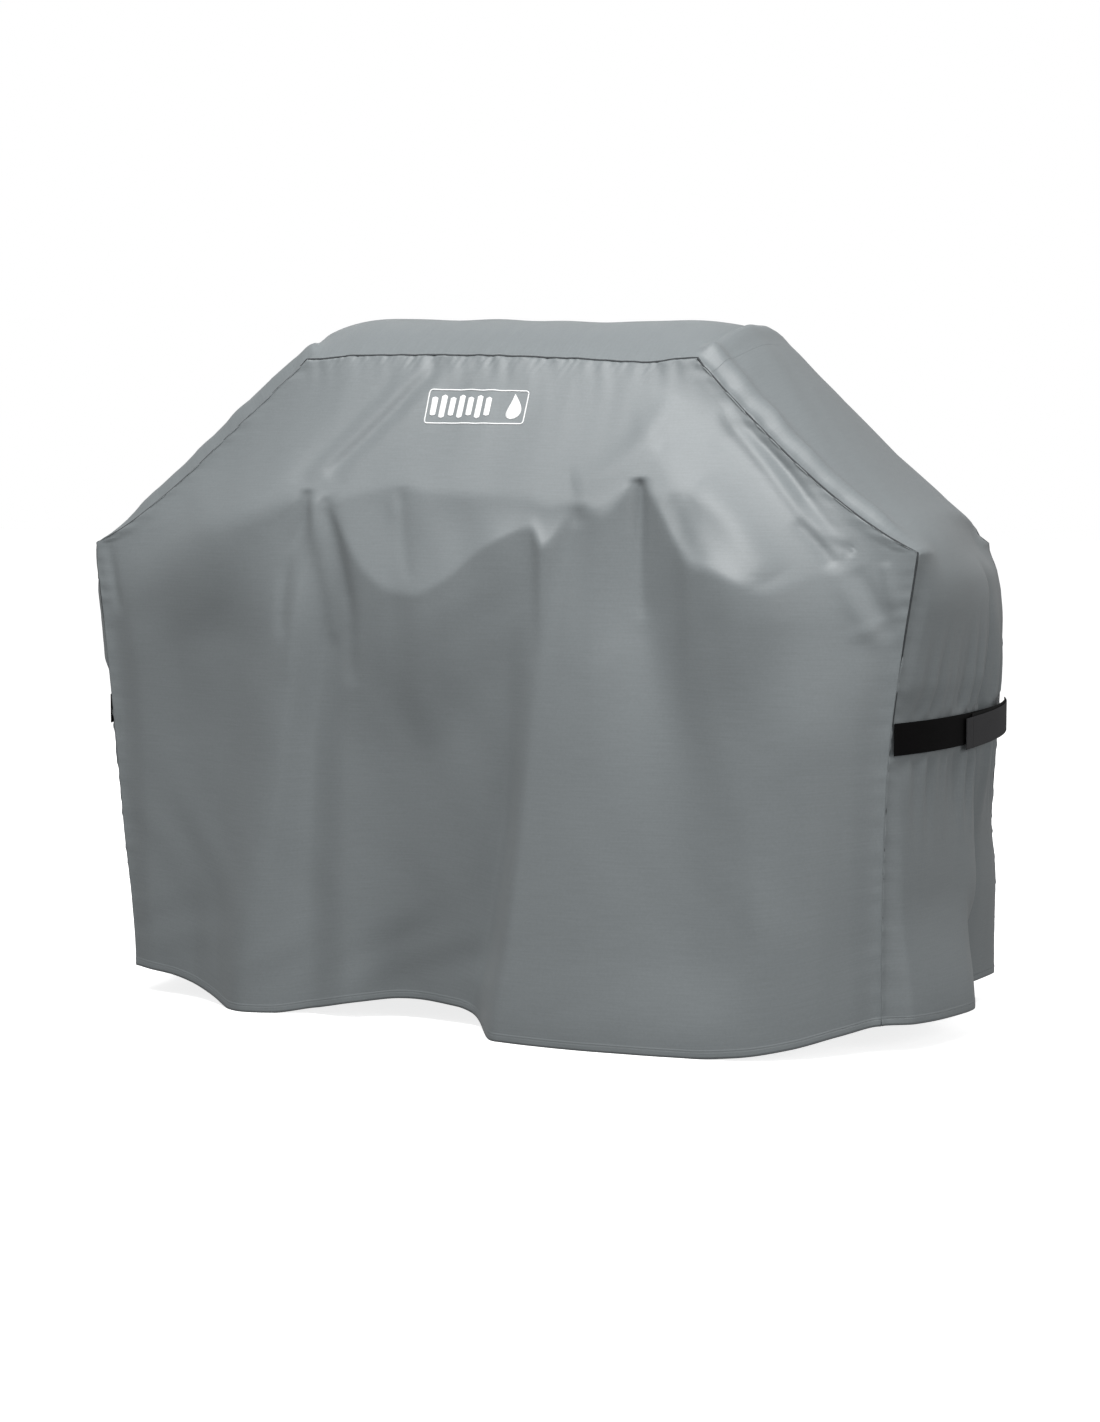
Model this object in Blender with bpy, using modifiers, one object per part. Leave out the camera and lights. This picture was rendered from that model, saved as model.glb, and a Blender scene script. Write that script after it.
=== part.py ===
"""Draped cover for a three-burner gas grill, standing on its own hem.

Units are metres and +Z is up. The origin is on the floor under the middle of the cover, the front
faces -Y and the width runs along X. Five cloth panels are sewn into a tent: a front and a back panel,
and a strip that runs up one side, over the lid and down the other side, pieced in three. On each side
a loop strap from the front seam and a hook strap from the back seam close over each other.

The cloth is drawn as a thin shell, thicker than the real coated fabric, with its outer face true.
"""

import math

import bmesh
import bpy
import numpy as np

# The seam outline that the front and the back panel share.
SHOULDER_WIDTH = 1.473
SHOULDER_DEPTH = 0.600
SHOULDER_HEIGHT = 0.792
HANDLE_OVER_SHOULDER = 0.113
SEAM_OVER_HANDLE = 0.195
TOP_WIDTH = 0.716
TOP_DEPTH = 0.470
HEM_WIDTH = 1.380
HEM_DEPTH = 0.580
SIDE_TAPER_POWER = 2.2
SLOPE_SAG = 0.030
SLOPE_SAG_POWER = 0.8
CROSS_SEAM_DROP = 0.024

# The hem hangs straight over its last band, is lifted at the corners and touches down at four bellies.
HEM_LIFT = 0.046
HEM_BAND = 0.060
DROP_FADE_HEIGHT = 0.450
LEVEL_STRETCH = 1.2
CORNER_SHARE = 0.15

# How far the cloth stands out between the seams.
TOP_CROWN = 0.078
SLOPE_CROWN = 0.045
SHOULDER_CROWN = 0.030
STRAP_CROWN = 0.045
HEM_CROWN = 0.065
CROWN_POWER = 2.5
CROWN_COLUMNS = (-1.0, -0.92, -0.75, -0.5, -0.2, 0.2, 0.5, 0.75, 0.92, 1.0)
LID_FRONT_SLOPE = 0.520
LID_BACK_SLOPE = 0.340
LEDGE_BULGE = 0.045
VALLEY_DRAW = 0.027
FLAT_SHARE = 0.60

# Cloth and seams.
CLOTH = 0.003
SEAM_GAP = 0.0016
TAPE_RADIUS = 0.002
TAPE_GAP = 0.0015
CROSS_TAPE_INSET = 0.016
CROSS_SEAM_GAP = 0.0004
CROSS_SEAM_LEAN = 0.4
FRONT_COLUMNS = 32
BACK_COLUMNS = 26
SLOPE_ROWS = 5

# Straps, from the cloth outwards: loop strap, hook patch, hook strap.
STRAP_HEIGHT = 0.499
STRAP_WIDTH = 0.051
STRAP_MARGIN = 0.014
STRAP_THICKNESS = 0.002
HOOK_THICKNESS = 0.0015
STRAP_TO_CLOTH = 0.0015
LAYER_GAP = 0.0006
STRAP_ROOT_GAP = 0.004
LOOP_STRAP_END = 0.115
HOOK_PATCH_LIFT = 0.005
PULL_TAB_START = -0.040
STRAP_END = -0.070
TAB_GAP = 0.001
HOOK_STRAP_DROP = 0.008
STRAP_SEGMENTS = 12

# The printed mark on the sloping part of the front panel.
PRINT_WIDTH = 0.182
PRINT_HEIGHT = 0.062
PRINT_THICKNESS = 0.0006
PRINT_GAP = 0.0004
PRINT_X = -0.015
PRINT_UNDER_SEAM = 0.082

# Worked out from the sizes above.
LID_HANDLE_HEIGHT = SHOULDER_HEIGHT + HANDLE_OVER_SHOULDER
TOP_SEAM_HEIGHT = LID_HANDLE_HEIGHT + SEAM_OVER_HANDLE
SEAM_SETBACK = CLOTH + SEAM_GAP


class Belly:
    """A rounded fold that hangs from the ledge and widens down to the hem."""

    def __init__(self, x, left, right, depth, sharp=2.0):
        self.x = x
        self.left = left
        self.right = right
        self.depth = depth
        self.sharp = sharp

    def shape(self, x):
        """1 on the fold's crest, falling to 0 over its left and right widths."""
        width = np.where(x < self.x, self.left, self.right)
        power = np.where(x < self.x, self.sharp, 2.0)
        return np.exp(-(np.abs(x - self.x) / width) ** power)


FRONT_BELLIES = (
    Belly(x=-0.370, left=0.130, right=0.110, depth=0.085),
    Belly(x=0.260, left=0.205, right=0.300, depth=0.165, sharp=4.0),
)
BACK_BELLIES = (
    Belly(x=-0.300, left=0.240, right=0.190, depth=0.165),
    Belly(x=0.340, left=0.160, right=0.130, depth=0.110),
)


def smooth_step(value):
    value = np.clip(value, 0.0, 1.0)
    return value * value * (3.0 - 2.0 * value)


def seam_x(height):
    """Half width of the seam outline: a slow taper to the shoulder, then a sagging slope to the lid."""
    rise = np.linspace(0.0, 1.0, 41)
    side_x = HEM_WIDTH / 2 + (SHOULDER_WIDTH - HEM_WIDTH) / 2 * rise**SIDE_TAPER_POWER
    side_z = HEM_LIFT + (SHOULDER_HEIGHT - HEM_LIFT) * rise
    slope_x = SHOULDER_WIDTH / 2 + (TOP_WIDTH - SHOULDER_WIDTH) / 2 * rise
    slope_z = SHOULDER_HEIGHT + (TOP_SEAM_HEIGHT - SHOULDER_HEIGHT) * rise
    slope_z -= SLOPE_SAG * np.sin(math.pi * rise**SLOPE_SAG_POWER)
    slope_z = np.maximum.accumulate(slope_z)
    outline_z = np.concatenate([side_z, slope_z[1:]])
    outline_x = np.concatenate([side_x, slope_x[1:]])
    return np.interp(np.maximum(height, HEM_LIFT + HEM_BAND), outline_z, outline_x)


def seam_y(height):
    """Half depth of the seam outline at a height."""
    heights = (HEM_LIFT + HEM_BAND, SHOULDER_HEIGHT, TOP_SEAM_HEIGHT)
    return np.interp(height, heights, (HEM_DEPTH / 2, SHOULDER_DEPTH / 2, TOP_DEPTH / 2))


def row_heights():
    """Heights of the rows that every panel shares, with one at each place where the form changes."""
    strap_reach = STRAP_WIDTH / 2 + STRAP_MARGIN
    hem_top = HEM_LIFT + HEM_BAND
    below = np.linspace(hem_top, STRAP_HEIGHT - strap_reach, 5)
    above = np.linspace(STRAP_HEIGHT + strap_reach, SHOULDER_HEIGHT, 5)
    slope = np.linspace(SHOULDER_HEIGHT, LID_HANDLE_HEIGHT, SLOPE_ROWS)[1:]
    lid = np.linspace(LID_HANDLE_HEIGHT, TOP_SEAM_HEIGHT - CROSS_SEAM_DROP, 4)[1:]
    return np.concatenate([[HEM_LIFT], below, above, slope, lid, [TOP_SEAM_HEIGHT]])


def drop_fade(height):
    """The share of the hem's dip that reaches a height: all over the hem band, none higher up."""
    return 1.0 - smooth_step((height - HEM_LIFT - HEM_BAND) / DROP_FADE_HEIGHT)


def panel_bulge(x, share, height, lid_slope, bellies):
    """How far a front or back panel stands out past its seams.

    It leans out over the lid down to the handle, turns down on the ledge, and from there to the
    hem band the bellies grow out of it while the cloth between them draws in.
    """
    seam_slope = (SHOULDER_DEPTH - TOP_DEPTH) / 2 / (TOP_SEAM_HEIGHT - SHOULDER_HEIGHT)
    lean = lid_slope - seam_slope
    over_lid = lean * (TOP_SEAM_HEIGHT - height)
    at_handle = lean * (TOP_SEAM_HEIGHT - LID_HANDLE_HEIGHT)
    turn = smooth_step((LID_HANDLE_HEIGHT - height) / (LID_HANDLE_HEIGHT - SHOULDER_HEIGHT))
    below_handle = at_handle + (LEDGE_BULGE - at_handle) * turn
    bulge = np.where(height >= LID_HANDLE_HEIGHT, over_lid, below_handle)
    hem_top = HEM_LIFT + HEM_BAND
    hang = 1.0 - smooth_step((height - hem_top) / (SHOULDER_HEIGHT - hem_top))
    swell = sum((belly.depth - VALLEY_DRAW) * belly.shape(x) for belly in bellies) - VALLEY_DRAW
    edge = 1.0 - smooth_step((np.abs(share) - FLAT_SHARE) / (1.0 - FLAT_SHARE))
    return (bulge + swell * hang) * edge


def hem_drop(x, share, bellies):
    """How far the hem hangs below its corners, with a level stretch under each belly."""
    touch = sum(LEVEL_STRETCH * belly.shape(x) for belly in bellies)
    edge = smooth_step((1.0 - np.abs(share)) / CORNER_SHARE)
    return HEM_LIFT * np.minimum(1.0, touch) * edge


def wide_panel_points(columns, lid_slope, bellies, facing):
    """Rows by columns of points of the front (facing -1) or the back panel (facing +1)."""
    share = np.linspace(-1.0, 1.0, columns + 1)[None, :]
    height = row_heights()[:, None]
    x = share * seam_x(height)
    y = seam_y(height) + panel_bulge(x, share, height, lid_slope, bellies)
    z = height - hem_drop(x, share, bellies) * drop_fade(height)
    points = np.stack([x, facing * y, z + 0.0 * x], axis=-1)
    return points if facing < 0 else points[:, ::-1]


def strip_path():
    """The long strip's seam line, from the right hem over the lid to the left hem.

    Returns x, z, the outward direction and the crown at each station.
    """
    heights = row_heights()
    right = np.stack([seam_x(heights), heights], axis=1)
    inner = TOP_WIDTH / 2 * np.array([0.75, 0.4, 0.0, -0.4, -0.75])
    top = np.stack([inner, np.full(len(inner), TOP_SEAM_HEIGHT)], axis=1)
    left = right[::-1] * (-1.0, 1.0)
    path = np.concatenate([right, top, left])
    step = np.diff(path, axis=0)
    step /= np.linalg.norm(step, axis=1)[:, None]
    along = np.concatenate([step[:1], step[:-1] + step[1:], step[-1:]])
    along /= np.linalg.norm(along, axis=1)[:, None]
    outward = np.stack([along[:, 1], -along[:, 0]], axis=1)
    reach = STRAP_WIDTH / 2 + STRAP_MARGIN
    crown_heights = (
        HEM_LIFT + HEM_BAND,
        STRAP_HEIGHT - reach,
        STRAP_HEIGHT + reach,
        SHOULDER_HEIGHT,
        LID_HANDLE_HEIGHT,
        TOP_SEAM_HEIGHT,
    )
    crowns = (HEM_CROWN, STRAP_CROWN, STRAP_CROWN, SHOULDER_CROWN, SLOPE_CROWN, TOP_CROWN)
    return path, outward, np.interp(path[:, 1], crown_heights, crowns)


def crown_share(column):
    """The crown's section between the seams: flat along the middle, round towards the seams."""
    return 1.0 - np.abs(column) ** CROWN_POWER


def strip_points(first, last):
    """Stations first to last of the strip, by columns from the front seam to the back seam."""
    path, outward, crown = strip_path()
    column = np.array(CROWN_COLUMNS)[None, :]
    stations = slice(first, last + 1)
    out = (crown[stations, None] * crown_share(column))[..., None]
    section = path[stations, None, :] + outward[stations, None, :] * out
    half_depth = seam_y(path[stations, 1])[:, None] - SEAM_SETBACK
    return np.stack([section[..., 0], column * half_depth, section[..., 1]], axis=-1)


def make_material(name, colour, roughness):
    material = bpy.data.materials.new(name)
    material.use_nodes = True
    shader = material.node_tree.nodes["Principled BSDF"]
    shader.inputs["Base Color"].default_value = (*colour, 1.0)
    shader.inputs["Roughness"].default_value = roughness
    shader.inputs["Metallic"].default_value = 0.0
    return material


def clear_scene():
    for thing in list(bpy.data.objects):
        bpy.data.objects.remove(thing, do_unlink=True)


def add_object(name, data, material, collection, origin=(0.0, 0.0, 0.0)):
    thing = bpy.data.objects.new(name, data)
    thing.location = origin
    data.materials.append(material)
    collection.objects.link(thing)
    return thing


def add_sheet(name, points, thickness, material, collection, origin=(0.0, 0.0, 0.0)):
    """A grid laid on the given rows of points, thickened inwards; rows x columns face outwards."""
    rows, columns = points.shape[:2]
    mesh = bmesh.new()
    bmesh.ops.create_grid(mesh, x_segments=columns - 1, y_segments=rows - 1, size=1.0)
    for vertex in mesh.verts:
        column = round((vertex.co.x + 1.0) / 2.0 * (columns - 1))
        row = round((vertex.co.y + 1.0) / 2.0 * (rows - 1))
        vertex.co = points[row, column] - np.array(origin)
    data = bpy.data.meshes.new(name)
    mesh.to_mesh(data)
    mesh.free()
    thing = add_object(name, data, material, collection, origin)
    shell = thing.modifiers.new("cloth thickness", "SOLIDIFY")
    shell.thickness = thickness
    shell.offset = -1.0
    shell.use_even_offset = True
    return thing


def add_tube(name, points, radius, material, collection):
    """A round tape along a line of points, closed at both ends."""
    curve = bpy.data.curves.new(name, "CURVE")
    curve.dimensions = "3D"
    curve.bevel_depth = radius
    curve.bevel_resolution = 1
    curve.use_fill_caps = True
    spline = curve.splines.new("POLY")
    spline.points.add(len(points) - 1)
    for knot, point in zip(spline.points, points):
        knot.co = (*point, 1.0)
    return add_object(name, curve, material, collection)


def add_panels(cloth, collection):
    front = wide_panel_points(FRONT_COLUMNS, LID_FRONT_SLOPE, FRONT_BELLIES, -1)
    back = wide_panel_points(BACK_COLUMNS, LID_BACK_SLOPE, BACK_BELLIES, 1)
    add_sheet("front_panel", front, CLOTH, cloth, collection)
    add_sheet("back_panel", back, CLOTH, cloth, collection)
    stations = len(strip_path()[0])
    cross_seam = len(row_heights()) - 2
    right = strip_points(0, cross_seam)
    right[-1, :, 2] -= CROSS_SEAM_GAP + CROSS_SEAM_LEAN * CLOTH
    left = (right * (-1.0, 1.0, 1.0))[:, ::-1]
    top = strip_points(cross_seam, stations - 1 - cross_seam)[::-1].transpose(1, 0, 2)
    add_sheet("right_side_panel", right, CLOTH, cloth, collection)
    add_sheet("left_side_panel", left, CLOTH, cloth, collection)
    add_sheet("top_panel", top, CLOTH, cloth, collection)


def add_seam_tapes(tape, collection):
    path, outward, _ = strip_path()
    inset = CLOTH + TAPE_RADIUS + TAPE_GAP
    line = path - outward * inset
    depth = seam_y(path[:, 1]) - inset
    for name, facing in (("front_seam_tape", -1), ("back_seam_tape", 1)):
        points = np.stack([line[:, 0], facing * depth, line[:, 1]], axis=1)
        add_tube(name, points, TAPE_RADIUS, tape, collection)
    cross_seam = len(row_heights()) - 2
    row = strip_points(cross_seam, cross_seam)[0]
    normal = np.array([outward[cross_seam, 0], 0.0, outward[cross_seam, 1]])
    under = row - normal * (CLOTH + TAPE_RADIUS + 2 * TAPE_GAP)
    end = seam_y(path[cross_seam, 1]) - CROSS_TAPE_INSET
    under[:, 1] = np.clip(under[:, 1], -end, end)
    under = under[[0, *range(2, len(under) - 2), len(under) - 1]]
    add_tube("right_cross_seam_tape", under, TAPE_RADIUS, tape, collection)
    add_tube("left_cross_seam_tape", under * (-1.0, 1.0, 1.0), TAPE_RADIUS, tape, collection)


def strap_x(y, offset):
    """The strap line at strap height: the crowned side cloth, plus the layers under the strap."""
    half_depth = seam_y(STRAP_HEIGHT) - SEAM_SETBACK
    cloth = seam_x(STRAP_HEIGHT + STRAP_WIDTH / 2 + STRAP_MARGIN) + STRAP_CROWN * crown_share(y / half_depth)
    return cloth + offset


def strap_band(start, end, offset):
    """Two rows of points of a strap from y = start to y = end, its outer face at the offset."""
    low, high = min(start, end), max(start, end)
    root = seam_y(STRAP_HEIGHT) - STRAP_ROOT_GAP
    stations = np.linspace(-root, root, STRAP_SEGMENTS + 1)
    inside = stations[(stations > low + 0.004) & (stations < high - 0.004)]
    y = np.concatenate([[low], inside, [high]])
    x = strap_x(y, offset)
    half = STRAP_WIDTH / 2
    return np.stack([np.stack([x, y, np.full(len(y), STRAP_HEIGHT + side)], axis=1) for side in (-half, half)])


def hook_drop(band):
    """Lets the hook strap run down towards its free end."""
    root = seam_y(STRAP_HEIGHT) - STRAP_ROOT_GAP
    band[..., 2] -= HOOK_STRAP_DROP * (root - band[..., 1]) / (root - STRAP_END)
    return band


def add_strap_side(side, name, materials, collection):
    """The loop strap, hook strap, hook patch and pull tab of one side; side is +1 right, -1 left."""

    def place(band):
        mirrored = band * (side, 1.0, 1.0)
        return mirrored if side > 0 else mirrored[:, ::-1]

    root = seam_y(STRAP_HEIGHT) - STRAP_ROOT_GAP
    loop_face = STRAP_TO_CLOTH + STRAP_THICKNESS
    hook_face = loop_face + LAYER_GAP + HOOK_THICKNESS
    strap_face = hook_face + LAYER_GAP + STRAP_THICKNESS
    front_hinge = (side * strap_x(-root, loop_face), -root, STRAP_HEIGHT)
    back_hinge = (side * strap_x(root, strap_face), root, STRAP_HEIGHT)
    tab_hinge = (side * strap_x(PULL_TAB_START, strap_face), PULL_TAB_START, STRAP_HEIGHT)
    loop = strap_band(-root, LOOP_STRAP_END, loop_face)
    hook = hook_drop(strap_band(root, PULL_TAB_START + TAB_GAP / 2, strap_face))
    patch_end = root - 2.0 * root / STRAP_SEGMENTS
    patch = hook_drop(strap_band(patch_end, PULL_TAB_START + TAB_GAP, hook_face))
    tab = hook_drop(strap_band(PULL_TAB_START - TAB_GAP / 2, STRAP_END, strap_face))
    patch[..., 2] += HOOK_PATCH_LIFT
    loop_webbing, hook_webbing, hook_tape = materials
    for piece, band, thickness, material, origin in (
        ("loop_strap", loop, STRAP_THICKNESS, loop_webbing, front_hinge),
        ("hook_strap", hook, STRAP_THICKNESS, hook_webbing, back_hinge),
        ("hook_patch", patch, HOOK_THICKNESS, hook_tape, back_hinge),
        ("pull_tab", tab, STRAP_THICKNESS, hook_webbing, tab_hinge),
    ):
        add_sheet(f"{name}_{piece}", place(band), thickness, material, collection, origin)


def add_print(ink, collection):
    """The printed mark, lying on the flat slope of the front panel between the seam and the handle."""
    bpy.ops.mesh.primitive_cube_add(size=1.0)
    film = bpy.context.object
    film.name = "front_print"
    film.data.name = "front_print"
    lift = PRINT_GAP + PRINT_THICKNESS / 2
    lean = math.atan(LID_FRONT_SLOPE)
    print_z = TOP_SEAM_HEIGHT - PRINT_UNDER_SEAM
    surface_y = -(TOP_DEPTH / 2 + LID_FRONT_SLOPE * PRINT_UNDER_SEAM)
    film.location = (PRINT_X, surface_y - lift * math.cos(lean), print_z + lift * math.sin(lean))
    film.rotation_euler = (-lean, 0.0, 0.0)
    for vertex in film.data.vertices:
        vertex.co.x *= PRINT_WIDTH
        vertex.co.y *= PRINT_THICKNESS
        vertex.co.z *= PRINT_HEIGHT
    film.data.materials.append(ink)
    for group in film.users_collection:
        group.objects.unlink(film)
    collection.objects.link(film)


def build():
    clear_scene()
    collection = bpy.data.collections.new("grill_cover")
    bpy.context.scene.collection.children.link(collection)
    cloth = make_material("grey coated polyester", (0.19, 0.205, 0.212), 0.45)
    tape = make_material("grey seam tape", (0.12, 0.13, 0.135), 0.7)
    loop_webbing = make_material("black loop webbing", (0.006, 0.005, 0.006), 0.95)
    hook_webbing = make_material("charcoal strap", (0.032, 0.032, 0.034), 0.75)
    hook_tape = make_material("black hook tape", (0.010, 0.010, 0.010), 0.6)
    ink = make_material("white print", (0.85, 0.86, 0.86), 0.5)
    add_panels(cloth, collection)
    add_seam_tapes(tape, collection)
    straps = (loop_webbing, hook_webbing, hook_tape)
    add_strap_side(1, "right", straps, collection)
    add_strap_side(-1, "left", straps, collection)
    add_print(ink, collection)


build()
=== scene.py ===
import math

import bpy
import mathutils
import numpy as np
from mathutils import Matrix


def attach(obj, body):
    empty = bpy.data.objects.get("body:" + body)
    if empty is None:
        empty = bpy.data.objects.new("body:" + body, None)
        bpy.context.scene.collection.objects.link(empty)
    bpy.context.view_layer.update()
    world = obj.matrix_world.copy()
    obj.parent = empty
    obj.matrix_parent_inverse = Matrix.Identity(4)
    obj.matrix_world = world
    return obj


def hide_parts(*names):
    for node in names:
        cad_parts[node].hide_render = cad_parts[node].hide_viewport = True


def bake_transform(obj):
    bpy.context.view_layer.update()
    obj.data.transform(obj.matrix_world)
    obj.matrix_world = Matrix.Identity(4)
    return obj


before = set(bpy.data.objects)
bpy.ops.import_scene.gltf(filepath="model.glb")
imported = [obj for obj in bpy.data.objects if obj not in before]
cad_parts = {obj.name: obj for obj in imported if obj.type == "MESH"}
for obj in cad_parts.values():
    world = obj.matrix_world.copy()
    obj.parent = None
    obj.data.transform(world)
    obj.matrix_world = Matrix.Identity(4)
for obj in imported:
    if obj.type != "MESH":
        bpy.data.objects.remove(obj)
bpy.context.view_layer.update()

# ---------------------------------------------------------------------------
# Studio: a white floor and wall, a large soft lamp above the front, a weaker one at the right side and one
# behind, and a camera five metres away, at chest height and turned to the right of the front.
# ---------------------------------------------------------------------------
CAMERA_TARGET = (-0.0085, 0.0045, 0.496)
CAMERA_DISTANCE = 5.0
CAMERA_AZIMUTH = math.radians(24.145)
CAMERA_ELEVATION = math.radians(4.905)
CAMERA_LENS = 72.2
SKY_LIGHT = 0.30
FLOOR_GLOW = 0.80


def add_lamp(name, place, aim, size, power):
    """A rectangular soft lamp at place, facing aim; size is its width and height, power is in watts."""
    data = bpy.data.lights.new(name, "AREA")
    data.shape = "RECTANGLE"
    data.size, data.size_y = size
    data.energy = power
    lamp = bpy.data.objects.new(name, data)
    bpy.context.scene.collection.objects.link(lamp)
    towards = np.array(aim, float) - np.array(place, float)
    towards /= np.linalg.norm(towards)
    side = np.cross(towards, (0.0, 0.0, 1.0))
    side /= np.linalg.norm(side)
    up = np.cross(side, towards)
    turn = np.eye(4)
    turn[:3, 0], turn[:3, 1], turn[:3, 2], turn[:3, 3] = side, up, -towards, place
    lamp.matrix_world = mathutils.Matrix(turn.tolist())
    return lamp


add_lamp("front_softbox", (0.45, -2.2, 4.15), (0.0, -0.1, 0.8), (3.0, 1.7), 200.0)
add_lamp("side_softbox", (4.1, -1.9, 1.7), (0.3, 0.0, 0.6), (1.4, 2.0), 36.0)
back_lamp = add_lamp("back_softbox", (-1.8, 3.0, 3.1), (0.0, 0.2, 0.6), (2.2, 1.4), 84.0)
back_lamp.visible_glossy = False

camera_data = bpy.data.cameras.new("camera")
camera_data.lens = CAMERA_LENS
camera_data.sensor_width = 36.0
camera_data.clip_end = 100.0
camera = bpy.data.objects.new("camera", camera_data)
bpy.context.scene.collection.objects.link(camera)
backwards = np.array([
    math.sin(CAMERA_AZIMUTH) * math.cos(CAMERA_ELEVATION),
    -math.cos(CAMERA_AZIMUTH) * math.cos(CAMERA_ELEVATION),
    math.sin(CAMERA_ELEVATION),
])
camera.location = np.array(CAMERA_TARGET) + CAMERA_DISTANCE * backwards
camera.rotation_euler = (math.pi / 2 - CAMERA_ELEVATION, 0.0, CAMERA_AZIMUTH)
bpy.context.scene.camera = camera
bpy.context.scene.view_settings.view_transform = "Standard"

world = bpy.data.worlds.new("studio")
bpy.context.scene.world = world
world.use_nodes = True
nodes, links = world.node_tree.nodes, world.node_tree.links
sky, wall = nodes["Background"], nodes.new("ShaderNodeBackground")
for background, strength in ((sky, SKY_LIGHT), (wall, 1.0)):
    background.inputs["Color"].default_value = (1.0, 1.0, 1.0, 1.0)
    background.inputs["Strength"].default_value = strength
seen = nodes.new("ShaderNodeLightPath")
either = nodes.new("ShaderNodeMixShader")
links.new(seen.outputs["Is Camera Ray"], either.inputs[0])
links.new(sky.outputs[0], either.inputs[1])
links.new(wall.outputs[0], either.inputs[2])
links.new(either.outputs[0], nodes["World Output"].inputs["Surface"])

floor_mesh = bpy.data.meshes.new("floor")
floor_mesh.from_pydata([(-30, -30, 0), (30, -30, 0), (30, 30, 0), (-30, 30, 0)], [], [(0, 1, 2, 3)])
floor = bpy.data.objects.new("floor", floor_mesh)
bpy.context.scene.collection.objects.link(floor)
floor_paint = bpy.data.materials.new("white floor")
floor_paint.use_nodes = True
shader = floor_paint.node_tree.nodes["Principled BSDF"]
shader.inputs["Base Color"].default_value = (0.88, 0.88, 0.88, 1.0)
shader.inputs["Roughness"].default_value = 0.9
shader.inputs["Emission Color"].default_value = (1.0, 1.0, 1.0, 1.0)
shader.inputs["Emission Strength"].default_value = FLOOR_GLOW
floor_mesh.materials.append(floor_paint)
floor.visible_diffuse = False
floor.visible_glossy = False

# ---------------------------------------------------------------------------
# Front panel: one cut of coated grey polyester, sewn to the side strip along its slopes and sides.
# It leans out over the lid, turns down over the lid handle in swags, and hangs in folds to a
# double-turned, stitched hem.
# ---------------------------------------------------------------------------
SHOULDER_WIDTH = 1.473
SHOULDER_DEPTH = 0.600
SHOULDER_HEIGHT = 0.792
TOP_SEAM_HEIGHT = 1.100
TOP_WIDTH = 0.716
TOP_DEPTH = 0.470
HEM_WIDTH = 1.380
HEM_DEPTH = 0.580
HEM_LIFT = 0.046
HEM_BAND = 0.060
SIDE_TAPER_POWER = 2.2
SLOPE_SAG = 0.030
SLOPE_SAG_POWER = 0.8
DROP_FADE_HEIGHT = 0.450
CLOTH = 0.0012
HEM_TURN = 0.014
HEM_EXTRA = 0.0006
FLOOR_GAP = 0.0006
SEAM_TURN = 0.004
SEAM_SHOW = 0.0022
TURN_LEAN = 0.0004
TOP_TURN = 0.0024
TOP_TURN_RISE = 0.0006
LID_SLOPE = 0.520


def ease(t):
    """0 below t = 0, 1 above t = 1, and 3t^2 - 2t^3 between."""
    t = np.clip(t, 0.0, 1.0)
    return t * t * (3.0 - 2.0 * t)


def ease_area(t):
    """The area under ease from 0 to t: t^3 - t^4/2 up to 1, then t - 1/2."""
    inside = np.clip(t, 0.0, 1.0)
    return inside**3 - inside**4 / 2.0 + np.maximum(t - 1.0, 0.0)


def through(x, knots):
    """A smooth curve through (x, value) knots: a cubic between each two, level at a high or low knot."""
    at, value = np.array(knots, float).T
    if len(at) == 2:
        return np.interp(x, at, value)
    gap = np.diff(at)
    rise = np.diff(value) / gap
    same = np.maximum(rise[:-1] * rise[1:], 0.0)
    total = rise[:-1] + rise[1:]
    slope = np.zeros(len(at))
    slope[1:-1] = 2.0 * same / np.where(same > 0.0, total, 1.0)
    x = np.clip(x, at[0], at[-1])
    i = np.clip(np.searchsorted(at, x) - 1, 0, len(gap) - 1)
    t = (x - at[i]) / gap[i]
    return (
        (1.0 + 2.0 * t) * (1.0 - t) ** 2 * value[i]
        + t * (1.0 - t) ** 2 * gap[i] * slope[i]
        + t * t * (3.0 - 2.0 * t) * value[i + 1]
        + t * t * (t - 1.0) * gap[i] * slope[i + 1]
    )


def seam_x(height):
    """Half width of the seam outline: a slow taper up to the shoulder, then a sagging slope to the lid."""
    rise = np.linspace(0.0, 1.0, 41)
    side_x = HEM_WIDTH / 2 + (SHOULDER_WIDTH - HEM_WIDTH) / 2 * rise**SIDE_TAPER_POWER
    side_z = HEM_LIFT + (SHOULDER_HEIGHT - HEM_LIFT) * rise
    slope_x = SHOULDER_WIDTH / 2 + (TOP_WIDTH - SHOULDER_WIDTH) / 2 * rise
    slope_z = SHOULDER_HEIGHT + (TOP_SEAM_HEIGHT - SHOULDER_HEIGHT) * rise
    slope_z -= SLOPE_SAG * np.sin(math.pi * rise**SLOPE_SAG_POWER)
    slope_z = np.maximum.accumulate(slope_z)
    outline_z = np.concatenate([side_z, slope_z[1:]])
    outline_x = np.concatenate([side_x, slope_x[1:]])
    return np.interp(np.maximum(height, HEM_LIFT + HEM_BAND), outline_z, outline_x)


def seam_y(height):
    """Half depth of the seam outline at a height."""
    heights = (HEM_LIFT + HEM_BAND, SHOULDER_HEIGHT, TOP_SEAM_HEIGHT)
    return np.interp(height, heights, (HEM_DEPTH / 2, SHOULDER_DEPTH / 2, TOP_DEPTH / 2))


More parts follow.
